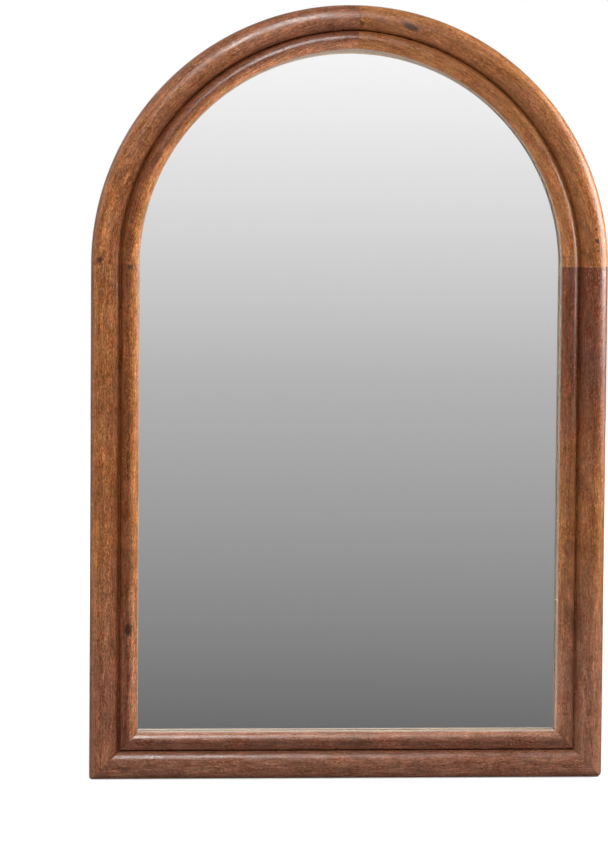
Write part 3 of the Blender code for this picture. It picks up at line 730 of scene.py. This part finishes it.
def silvering():
    """Chemically deposited silver, seen through the glass: a nearly perfect, colourless mirror."""
    material, tree, output = new_material("silvering")
    shader = node(
        tree,
        "ShaderNodeBsdfPrincipled",
        {"Base Color": linear("FDFDFD"), "Roughness": 0.0, "Metallic": 1.0},
    )
    tree.links.new(shader.outputs[0], output.inputs["Surface"])
    return material


glass_back = glass_high.y - SILVER_THICKNESS - SILVER_GAP
glass = arched_plate(
    "mirror_plate",
    [
        (glass_inset + GLASS_CHAMFER, glass_low.y),
        (glass_inset, glass_low.y + GLASS_CHAMFER),
        (glass_inset, glass_back - GLASS_CHAMFER),
        (glass_inset + GLASS_CHAMFER, glass_back),
    ],
)
glass.data.materials.append(float_glass())
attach(glass, "frame")
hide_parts("mirror_glass")
silver_inset = glass_inset + GLASS_CHAMFER
silver = arched_plate(
    "mirror_silvering",
    [(silver_inset, glass_back + SILVER_GAP), (silver_inset, glass_high.y)],
)
silver.data.materials.append(silvering())
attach(silver, "frame")

# The foam sheet and the backing board
# White polyethylene foam takes up the play between the glass and the board. The board is
# 6 mm hardboard, pressed from wood fibre, sawn to the arch and screwed down on its shoulder.

FOAM_CELL = 0.0012
BOARD_FIBRE = 0.0016
BOARD_MOTTLE = 0.030
BOARD_SPECK = 0.007
MOTTLE_WEIGHT = 0.35
BOARD_FIBRE_WEIGHT = 1.3
BOARD_TONE_SHIFT = -0.33
SPECK_COLOUR = "4A3522"


def polyethylene_foam():
    """Closed-cell foam sheet: matt white, with its skin pitted by the cells."""
    material, tree, output = new_material("polyethylene_foam")
    place = node(tree, "ShaderNodeTexCoord").outputs["Object"]
    cells = node(tree, "ShaderNodeTexVoronoi", {"Vector": place, "Scale": 1 / FOAM_CELL})
    # The cells' pits are painted a little darker, as painted shade
    pit_shade = node(tree, "ShaderNodeValToRGB", {0: cells}, stops=[(0.0, "DCDAD2"), (0.6, "F0EEE8")])
    bump = node(tree, "ShaderNodeBump", {"Strength": 0.5, "Distance": 0.0002, "Height": cells})
    skin = {"Base Color": pit_shade, "Roughness": 0.55, "Normal": bump, "IOR": 1.5}
    tree.links.new(node(tree, "ShaderNodeBsdfPrincipled", skin).outputs[0], output.inputs["Surface"])
    return material


def hardboard():
    """Pressed wood fibre, plain and unpainted: matt brown, mottled, with fine fibres and dark specks.

    The fibres are drawn three times as coarse as real ones, so that they show.
    """
    material, tree, output = new_material("hardboard")
    place = node(tree, "ShaderNodeTexCoord").outputs["Object"]
    mottle = {"Vector": place, "Scale": 1 / BOARD_MOTTLE, "Detail": 4.0, "Roughness": 0.6}
    mottle = node(tree, "ShaderNodeTexNoise", mottle)
    fibre = {"Vector": place, "Scale": 1 / BOARD_FIBRE, "Detail": 4.0, "Roughness": 0.65}
    fibre = node(tree, "ShaderNodeTexNoise", fibre | {"Distortion": 1.6})
    tone = BOARD_TONE_SHIFT
    for layer, weight in ((mottle, MOTTLE_WEIGHT), (fibre, BOARD_FIBRE_WEIGHT)):
        tone = node(tree, "ShaderNodeMath", {0: layer, 1: weight, 2: tone}, operation="MULTIPLY_ADD")
    stops = [(0.25, "6E5236"), (0.5, "97744E"), (0.62, "A6835A"), (0.8, "BC9A6C")]
    colour = node(tree, "ShaderNodeValToRGB", {0: tone}, stops=stops)
    cells = node(tree, "ShaderNodeTexVoronoi", {"Vector": place, "Scale": 1 / BOARD_SPECK})
    specks = {"Value": cells, "From Min": 0.09, "From Max": 0.03, "To Max": 0.6}
    specks = node(tree, "ShaderNodeMapRange", specks)
    specked = {0: specks, 6: colour, 7: linear(SPECK_COLOUR)}
    colour = node(tree, "ShaderNodeMix", specked, data_type="RGBA").outputs[2]
    bump = node(tree, "ShaderNodeBump", {"Strength": 0.35, "Distance": 0.0003, "Height": fibre})
    face = {"Base Color": colour, "Roughness": 0.72, "Normal": bump, "IOR": 1.48}
    tree.links.new(node(tree, "ShaderNodeBsdfPrincipled", face).outputs[0], output.inputs["Surface"])
    return material


for name, finish in (("foam_sheet", polyethylene_foam()), ("backing_board", hardboard())):
    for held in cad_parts[name].material_slots:
        held.material = finish

# The dowels
# Fluted beech pins glued into blind holes, two across each joint of the wood. They stay out
# of sight inside the joints.

BEECH_RAY = (0.0004, 0.0004, 0.0025)


def turned_beech():
    """Unfinished beech: pale and even, flecked with short fine rays along the pin."""
    material, tree, output = new_material("turned_beech")
    place = node(tree, "ShaderNodeTexCoord").outputs["Object"]
    scale = [1 / size for size in BEECH_RAY]
    drawn = node(tree, "ShaderNodeMapping", {"Vector": place, "Scale": scale})
    rays = node(tree, "ShaderNodeTexNoise", {"Vector": drawn, "Scale": 1.0, "Detail": 2.0})
    stops = [(0.3, "B98F5F"), (0.5, "D8B88A"), (0.8, "E3C79C")]
    colour = node(tree, "ShaderNodeValToRGB", {0: rays}, stops=stops)
    wood = {"Base Color": colour, "Roughness": 0.6, "IOR": 1.5}
    tree.links.new(node(tree, "ShaderNodeBsdfPrincipled", wood).outputs[0], output.inputs["Surface"])
    return material


beech = turned_beech()
for name, cad_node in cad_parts.items():
    for held in cad_node.material_slots if "dowel" in name else ():
        held.material = beech

# The screws
# Zinc-plated steel with pan heads and cross recesses, cold headed and thread rolled. Thirteen
# hold the board to the wood, and two hold each hanger.

SCREW_HEAD_RADIUS = 0.0034
SCREW_HEAD_HEIGHT = 0.0021
PAN_POWER = 2.5
SCREW_RADIUS = 0.00175
SCREW_CORE_SHARE = 0.68
SCREW_POINT = 0.004
SCREW_TIP_RADIUS = 0.0001
THREAD_PITCH = 0.0015
RECESS_REACH = 0.0019
RECESS_HALF_WIDTH = 0.00042
RECESS_DEPTH = 0.0013
RECESS_SOFTNESS = 0.00022
SCREW_COLUMNS = 48
HEAD_ROWS = 22
SHANK_ROWS = 96
TURN_APART_DEG = 137.5
HEAD_START_SHARE = 0.03


def screw_grid(centre, head_top, point, turn_deg):
    """A screw as rings about its axis, from the middle of its head round to its point.

    The head is a filled-out quarter ellipse turned about the axis, less a cross: two bars at
    right angles, whose depth falls off as the square root of the distance left to their ends.
    The shank swings between core and crest as the square of a triangle wave of the distance
    along in pitches less the turn, and both shrink evenly to the point.
    """
    turn = np.linspace(0, 2 * np.pi, SCREW_COLUMNS, endpoint=False)
    seat = head_top - SCREW_HEAD_HEIGHT
    share = np.linspace(HEAD_START_SHARE, 1, HEAD_ROWS) * np.pi / 2
    r = SCREW_HEAD_RADIUS * np.sin(share) ** (2 / PAN_POWER)
    rise = SCREW_HEAD_HEIGHT * np.maximum(np.cos(share), 0) ** (2 / PAN_POWER)
    a, b = np.abs(r[:, None] * np.cos(turn)), np.abs(r[:, None] * np.sin(turn))
    bars = np.clip((RECESS_HALF_WIDTH - np.minimum(a, b)) / RECESS_SOFTNESS + 0.5, 0, 1)
    cut = RECESS_DEPTH * np.sqrt(np.clip(1 - r / RECESS_REACH, 0, 1))[:, None] * bars
    head_y = seat + rise[:, None] - cut
    head_r = np.broadcast_to(r[:, None], head_y.shape)
    length = seat - point
    t = np.linspace(0, length, SHANK_ROWS)[:, None]
    crest = np.maximum(SCREW_RADIUS * np.minimum(1, (length - t) / SCREW_POINT), SCREW_TIP_RADIUS)
    wave = np.abs(((t / THREAD_PITCH - turn / (2 * np.pi)) % 1) * 2 - 1) ** 2
    shank_r = crest * (SCREW_CORE_SHARE + (1 - SCREW_CORE_SHARE) * wave)
    shank_y = np.broadcast_to(seat - t, shank_r.shape)
    radius = np.concatenate([head_r, shank_r])
    y = np.concatenate([head_y, shank_y])
    aim = turn + math.radians(turn_deg)
    return np.stack([centre.x + radius * np.cos(aim), y, centre.z + radius * np.sin(aim)], axis=-1)


def zinc_plate(name, cloud_size):
    """Clear-passivated zinc on steel: a soft bright grey, faintly blue and straw in clouds."""
    material, tree, output = new_material(name)
    place = node(tree, "ShaderNodeTexCoord").outputs["Object"]
    clouds = node(tree, "ShaderNodeTexNoise", {"Vector": place, "Scale": 1 / cloud_size, "Detail": 3.0})
    stops = [(0.3, "B4BBC6"), (0.5, "C4C7CA"), (0.7, "CCC8BC")]
    colour = node(tree, "ShaderNodeValToRGB", {0: clouds}, stops=stops)
    dull = node(tree, "ShaderNodeMapRange", {"Value": clouds, "To Min": 0.24, "To Max": 0.46})
    plate = {"Base Color": colour, "Metallic": 1.0, "Roughness": dull}
    tree.links.new(node(tree, "ShaderNodeBsdfPrincipled", plate).outputs[0], output.inputs["Surface"])
    return material


screw_zinc = zinc_plate("zinc_plated_screw", 0.002)
screw_names = sorted(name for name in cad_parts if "_screw_" in name)
for number, name in enumerate(screw_names):
    low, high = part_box(name)
    grid = screw_grid((low + high) / 2, high.y, low.y, number * TURN_APART_DEG)
    piece = closed_mesh(f"{name}_turned", grid)
    piece.data.materials.append(screw_zinc)
    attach(piece, "frame")
    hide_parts(name)

# The D-ring hangers
# A steel strap is folded round the bar of a ring, and the ring is bent from round wire. Both
# are zinc plated. The straps are screwed to the stiles, and the rings swing over the board.

STRAP_THICKNESS = 0.0012
STRAP_WIDTH = 0.012
STRAP_LENGTH = 0.029
STRAP_EDGE_POWER = 7.0
STRAP_SLIP = 0.00002
STRAP_FILLET = 0.0012
STRAP_TIP_HALF_WIDTH = 0.0004
LOOP_WRAP_DEG = 150.0
RING_WIRE_RADIUS = 0.0015
RING_WIDTH = 0.020
RING_REACH = 0.018
RING_CORNER_RADIUS = 0.0025
BEND_STEP = 0.00025
BEND_LEAST_STEPS = 8
HINGE_CLEARANCE = 0.00025
STRAP_EDGE_STEPS = 28
RING_SPOKE_DEG = 15


def bent_path(start, moves):
    """A path of straights and bends from (length, turn in degrees) moves, with its headings.

    The heading grows evenly over each move, and the place is the running sum of step times
    the cosine and sine of the heading half way along each step.
    """
    steps = [max(BEND_LEAST_STEPS, round(length / BEND_STEP)) for length, _ in moves]
    ds = np.concatenate([np.full(n, length / n) for n, (length, _) in zip(steps, moves)])
    bend = np.concatenate([np.full(n, math.radians(turn) / n) for n, (_, turn) in zip(steps, moves)])
    heading = np.concatenate([[0], np.cumsum(bend)])
    middle = (heading[1:] + heading[:-1]) / 2
    place = np.stack([ds * np.cos(middle), ds * np.sin(middle)], axis=1)
    return np.concatenate([[start], start + np.cumsum(place, axis=0)]), heading


def strap_grid(hinge, side):
    """The folded strap: a filled-out oval section carried along the path, as wide as its outline there.

    The outline is straight, with a half round at the far end: half the width is the root of
    the round's radius squared less the distance past its centre squared.
    """
    loop = RING_WIRE_RADIUS + HINGE_CLEARANCE + STRAP_THICKNESS / 2
    top = 1.5 * STRAP_THICKNESS - loop - STRAP_THICKNESS / 2
    wrap = math.radians(LOOP_WRAP_DEG)
    last_turn = LOOP_WRAP_DEG + 90 - 180
    down = (loop * math.sin(wrap) - top) / math.sin(math.radians(last_turn))
    trim = STRAP_FILLET * math.tan(math.radians(last_turn) / 2)
    foot_x = loop * math.cos(wrap) - down * math.cos(math.radians(last_turn))
    moves = [
        (STRAP_LENGTH, 0),
        (loop * math.radians(LOOP_WRAP_DEG + 90), LOOP_WRAP_DEG + 90),
        (down - trim, 0),
        (STRAP_FILLET * math.radians(last_turn), -last_turn),
        (STRAP_LENGTH + foot_x - trim, 0),
    ]
    path, heading = bent_path((-STRAP_LENGTH, -loop), moves)
    half = STRAP_WIDTH / 2
    past = np.clip(half - STRAP_LENGTH - path[:, 0], 0, half)
    wide = np.maximum(np.sqrt(half**2 - past**2), STRAP_TIP_HALF_WIDTH)
    half_thick = STRAP_THICKNESS / 2 - STRAP_SLIP
    oval = ellipse((0, 0), 1, half_thick, 0, 360, STRAP_EDGE_STEPS, STRAP_EDGE_POWER)[:-1]
    normal = np.stack([-np.sin(heading), np.cos(heading)], axis=1)
    x = path[:, :1] + normal[:, :1] * oval[None, :, 1]
    y = path[:, 1:] + normal[:, 1:] * oval[None, :, 1]
    z = wide[:, None] * oval[None, :, 0]
    return np.stack([hinge.x - side * x, hinge.y + y, hinge.z + z], axis=-1)


def ring_grid(hinge, side):
    """The ring: a circle carried round a bar, two short arms and a half-round bow."""
    half = RING_WIDTH / 2
    corner = RING_CORNER_RADIUS
    arm = RING_REACH - half - corner
    moves = [
        (2 * (half - corner), 0),
        (corner * math.pi / 2, 90),
        (arm, 0),
        (half * math.pi, 180),
        (arm, 0),
        (corner * math.pi / 2, 90),
    ]
    path, heading = bent_path((0, 0), moves)
    path, heading = path[:-1], heading[:-1]
    spoke = np.radians(np.arange(0, 360, RING_SPOKE_DEG))
    inward = np.stack([-np.sin(heading), np.cos(heading)], axis=1)
    out = path[:, None, :] + RING_WIRE_RADIUS * np.cos(spoke)[None, :, None] * inward[:, None, :]
    y = np.broadcast_to(RING_WIRE_RADIUS * np.sin(spoke)[None], out.shape[:2])
    reach, rise = out[..., 1], half - corner - out[..., 0]
    return np.stack([hinge.x - side * reach, hinge.y + y, hinge.z + rise], axis=-1)


hanger_zinc = zinc_plate("zinc_plated_hanger", 0.005)
for word, side in (("left", -1), ("right", 1)):
    low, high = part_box(f"hanger_strap_{word}")
    inner = high.x if side < 0 else low.x
    loop_reach = RING_WIRE_RADIUS + HINGE_CLEARANCE + STRAP_THICKNESS
    hinge = Vector((inner + side * loop_reach, high.y - loop_reach, (low.z + high.z) / 2))
    strap = closed_mesh(f"hanger_strap_{word}_folded", strap_grid(hinge, side), smooth_deg=50.0)
    d_ring = closed_mesh(f"hanger_ring_{word}_bent", ring_grid(hinge, side), looped=True)
    for piece, body in ((strap, "frame"), (d_ring, f"ring_{word}")):
        piece.data.materials.append(hanger_zinc)
        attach(piece, body)
    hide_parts(f"hanger_strap_{word}")
    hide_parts(f"hanger_ring_{word}")

# The wall pads
# Moulded black rubber bumpers, stuck to the back of the wood, which keep the rings off the
# wall. Each is a low cone with a rounded rim and a shallow moulded ring in its face.

PAD_RADIUS = 0.007
PAD_TIP_RADIUS = 0.0055
PAD_EDGE_RADIUS = 0.0008
PAD_DISH_RADIUS = 0.0030
PAD_DISH_WIDTH = 0.0005
PAD_DISH_DEPTH = 0.00025
PAD_FACE_START = 0.0002
PAD_CONE_ROWS = 12
PAD_RIM_STEPS = 8
PAD_FACE_ROWS = 40
PAD_COLUMNS = 72
RUBBER_GRAIN = 0.0004
RUBBER_BLOOM = 0.004


def pad_grid(centre, foot_y, tip_y):
    """A pad turned about its axis: a straight cone, a quarter round, a face dished by a bell curve."""
    edge = PAD_EDGE_RADIUS
    cone_r = np.linspace(PAD_RADIUS, PAD_TIP_RADIUS, PAD_CONE_ROWS)
    cone_y = np.linspace(foot_y, tip_y - edge, PAD_CONE_ROWS)
    rim = ellipse((PAD_TIP_RADIUS - edge, tip_y - edge), edge, edge, 0, 90, PAD_RIM_STEPS)
    face_r = np.linspace(PAD_TIP_RADIUS - edge, PAD_FACE_START, PAD_FACE_ROWS)[1:]
    face_y = tip_y - PAD_DISH_DEPTH * np.exp(-(((face_r - PAD_DISH_RADIUS) / PAD_DISH_WIDTH) ** 2))
    r = np.concatenate([cone_r, rim[1:, 0], face_r])[:, None]
    y = np.concatenate([cone_y, rim[1:, 1], face_y])[:, None]
    turn = np.linspace(0, 2 * np.pi, PAD_COLUMNS, endpoint=False)[None]
    return np.stack([centre.x + r * np.cos(turn), y + 0 * turn, centre.z + r * np.sin(turn)], axis=-1)


def black_rubber():
    """Moulded natural rubber: matt black with a fine grain and a bloom of pale dust."""
    material, tree, output = new_material("black_rubber")
    place = node(tree, "ShaderNodeTexCoord").outputs["Object"]
    grain = node(tree, "ShaderNodeTexNoise", {"Vector": place, "Scale": 1 / RUBBER_GRAIN, "Detail": 3.0})
    bloom = node(tree, "ShaderNodeTexNoise", {"Vector": place, "Scale": 1 / RUBBER_BLOOM, "Detail": 2.0})
    stops = [(0.35, "19191A"), (0.7, "2E2D2C")]
    colour = node(tree, "ShaderNodeValToRGB", {0: bloom}, stops=stops)
    bump = node(tree, "ShaderNodeBump", {"Strength": 0.3, "Distance": 0.0001, "Height": grain})
    skin = {"Base Color": colour, "Roughness": 0.78, "Normal": bump, "IOR": 1.52}
    tree.links.new(node(tree, "ShaderNodeBsdfPrincipled", skin).outputs[0], output.inputs["Surface"])
    return material


rubber = black_rubber()
for name in sorted(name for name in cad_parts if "wall_pad" in name):
    low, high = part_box(name)
    piece = closed_mesh(f"{name}_moulded", pad_grid((low + high) / 2, low.y, high.y))
    piece.data.materials.append(rubber)
    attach(piece, "frame")
    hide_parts(name)

# The floor and the studio around it
# White paper floor and white surroundings. The mirror sees the studio's dark far side low
# down and its white walls higher up, which gives the glass its grey.

# To the camera the floor adds a glow of its own, which grows from FOOT_GLOW to white between
# the two distances of GLOW_REACH from its middle
FLOOR_SIZE = 12.0
FOOT_GLOW = 0.34
GLOW_REACH = (0.65, 2.2)
floor_mesh = bpy.data.meshes.new("floor")
reach = FLOOR_SIZE / 2
floor_mesh.from_pydata(
    [(-reach, -reach, foot), (reach, -reach, foot), (reach, reach, foot), (-reach, reach, foot)],
    [],
    [(0, 1, 2, 3)],
)
floor = bpy.data.objects.new("floor", floor_mesh)
bpy.context.scene.collection.objects.link(floor)
floor.visible_glossy = False
floor.visible_transmission = False

paper, tree, output = new_material("white_paper_floor")
diffuse = node(tree, "ShaderNodeBsdfDiffuse", {"Color": linear("F2F2F2")})
place = node(tree, "ShaderNodeTexCoord").outputs["Object"]
away = node(tree, "ShaderNodeVectorMath", {0: place}, operation="LENGTH").outputs["Value"]
spread = {"Value": away, "From Min": GLOW_REACH[0], "From Max": GLOW_REACH[1], "To Min": FOOT_GLOW}
spread = node(tree, "ShaderNodeMapRange", spread)
glow = node(tree, "ShaderNodeEmission", {"Color": linear("FFFFFF"), "Strength": spread})
seen = node(tree, "ShaderNodeLightPath").outputs["Is Camera Ray"]
nothing = node(tree, "ShaderNodeEmission", {"Strength": 0.0})
lift = node(tree, "ShaderNodeMixShader", {0: seen, 1: nothing, 2: glow})
both = node(tree, "ShaderNodeAddShader", {0: diffuse, 1: lift})
tree.links.new(both.outputs[0], output.inputs["Surface"])
floor_mesh.materials.append(paper)

# The mirror's view, by the upward share of each direction. From the dark far side low down
# to the white above, place and grey rise in even steps, and far below, where the floor would
# be, it is pale again
MIRROR_VIEW = [
    (-0.60, "F0F0F0"),
    (-0.15, "707070"),
    (-0.06, "B8B8B8"),
    (0.03, "FFFFFF"),
]

# The glow of the studio's walls, by compass angle from the front and height in degrees,
# and how bright each is: a window wall on the left, a ceiling, and a wall behind
GLOWS = ((-100, 25, 1.45), (-70, 58, 0.30), (70, 55, 0.60), (180, 20, 0.90))
GLOW_TIGHTNESS = 8.0
BASE_GLOW = 0.04
world = bpy.data.worlds.new("studio")
bpy.context.scene.world = world
world.use_nodes = True
tree = world.node_tree
tree.nodes.clear()
output = node(tree, "ShaderNodeOutputWorld")
path = node(tree, "ShaderNodeLightPath")
direction = node(tree, "ShaderNodeTexCoord").outputs["Generated"]
parts = node(tree, "ShaderNodeSeparateXYZ", {0: direction})
low, high = MIRROR_VIEW[0][0], MIRROR_VIEW[-1][0]
share = {"Value": parts.outputs["Z"], "From Min": low, "From Max": high}
share = node(tree, "ShaderNodeMapRange", share)
stops = [((z - low) / (high - low), colour) for z, colour in MIRROR_VIEW]
view = node(tree, "ShaderNodeValToRGB", {0: share}, stops=stops)
strength = BASE_GLOW
for compass_deg, height_deg, gain in GLOWS:
    compass, height = math.radians(compass_deg), math.radians(height_deg)
    aim = (math.sin(compass) * math.cos(height), -math.cos(compass) * math.cos(height), math.sin(height))
    facing = node(tree, "ShaderNodeVectorMath", {0: direction, 1: aim}, operation="DOT_PRODUCT")
    facing = {0: facing.outputs["Value"], 1: 0.0}
    facing = node(tree, "ShaderNodeMath", facing, operation="MAXIMUM")
    lobe = node(tree, "ShaderNodeMath", {0: facing, 1: GLOW_TIGHTNESS}, operation="POWER")
    strength = node(tree, "ShaderNodeMath", {0: lobe, 1: gain, 2: strength}, operation="MULTIPLY_ADD")
studio = node(tree, "ShaderNodeBackground", {"Color": linear("FFFFFF"), "Strength": strength})
mirrored = node(tree, "ShaderNodeBackground", {"Color": view, "Strength": 1.0})
white = node(tree, "ShaderNodeBackground", {"Color": linear("FFFFFF"), "Strength": 1.0})
lit = node(tree, "ShaderNodeMixShader", {0: path.outputs["Is Transmission Ray"], 1: studio, 2: mirrored})
shown = node(tree, "ShaderNodeMixShader", {0: path.outputs["Is Camera Ray"], 1: lit, 2: white})
tree.links.new(shown.outputs[0], output.inputs["Surface"])


def softbox(name, place, aim, width, height, radiance):
    """A rectangular studio lamp at a place, turned to a point that it lights.

    Its power is pi times its area times its radiance, where 1 is a white surface in full light.
    """
    lamp = bpy.data.lights.new(name, "AREA")
    lamp.shape = "RECTANGLE"
    lamp.size = width
    lamp.size_y = height
    lamp.energy = math.pi * width * height * radiance
    stand = bpy.data.objects.new(name, lamp)
    stand.location = place
    stand.rotation_mode = "QUATERNION"
    stand.rotation_quaternion = (Vector(aim) - Vector(place)).to_track_quat("-Z", "Y")
    bpy.context.scene.collection.objects.link(stand)


# A bank of softboxes on the right, nearly in the plane of the face, and a tall one high in
# front: each one's place, the point it is turned to, its width, its height and its radiance
SOFTBOXES = {
    "right_softbox": ((0.90, -0.0125, 0.215), (0.0, -0.0125, 0.215), 0.145, 0.47, 18.0),
    "right_front_softbox": ((0.90, -0.235, 0.215), (0.0, -0.235, 0.215), 0.29, 0.47, 11.0),
    "right_upper_softbox": ((0.90, -0.0125, 0.60), (0.0, -0.0125, 0.60), 0.30, 0.30, 4.8),
    "right_lower_softbox": ((0.70, 0.0, -0.10), (0.0, 0.0, -0.10), 0.30, 0.24, 2.7),
    "front_softbox": ((-0.36, -2.56, 1.88), (0, -0.02, 0), 0.6, 1.6, 28.0),
}
for name, settings in SOFTBOXES.items():
    softbox(name, *settings)

# The camera, at the photograph's own viewpoint

CAMERA_PLACE = (-0.400, -4.474, 0.182)
CAMERA_YAW_DEG = 4.452
CAMERA_PITCH_DEG = -4.148
CAMERA_ROLL_DEG = 0.453
CAMERA_LENS_MM = 158.9
yaw, pitch, roll = (math.radians(a) for a in (CAMERA_YAW_DEG, CAMERA_PITCH_DEG, CAMERA_ROLL_DEG))
ahead = Vector((math.sin(yaw) * math.cos(pitch), math.cos(yaw) * math.cos(pitch), math.sin(pitch)))
level = Vector((math.cos(yaw), -math.sin(yaw), 0))
upright = level.cross(ahead)
right = level * math.cos(roll) + upright * math.sin(roll)
up = upright * math.cos(roll) - level * math.sin(roll)
camera = bpy.data.objects.new("camera", bpy.data.cameras.new("camera"))
camera.data.lens = CAMERA_LENS_MM
facing = Matrix((right, up, -ahead)).transposed().to_4x4()
camera.matrix_world = Matrix.Translation(CAMERA_PLACE) @ facing
bpy.context.scene.collection.objects.link(camera)
bpy.context.scene.camera = camera
bpy.context.scene.view_settings.view_transform = "Standard"
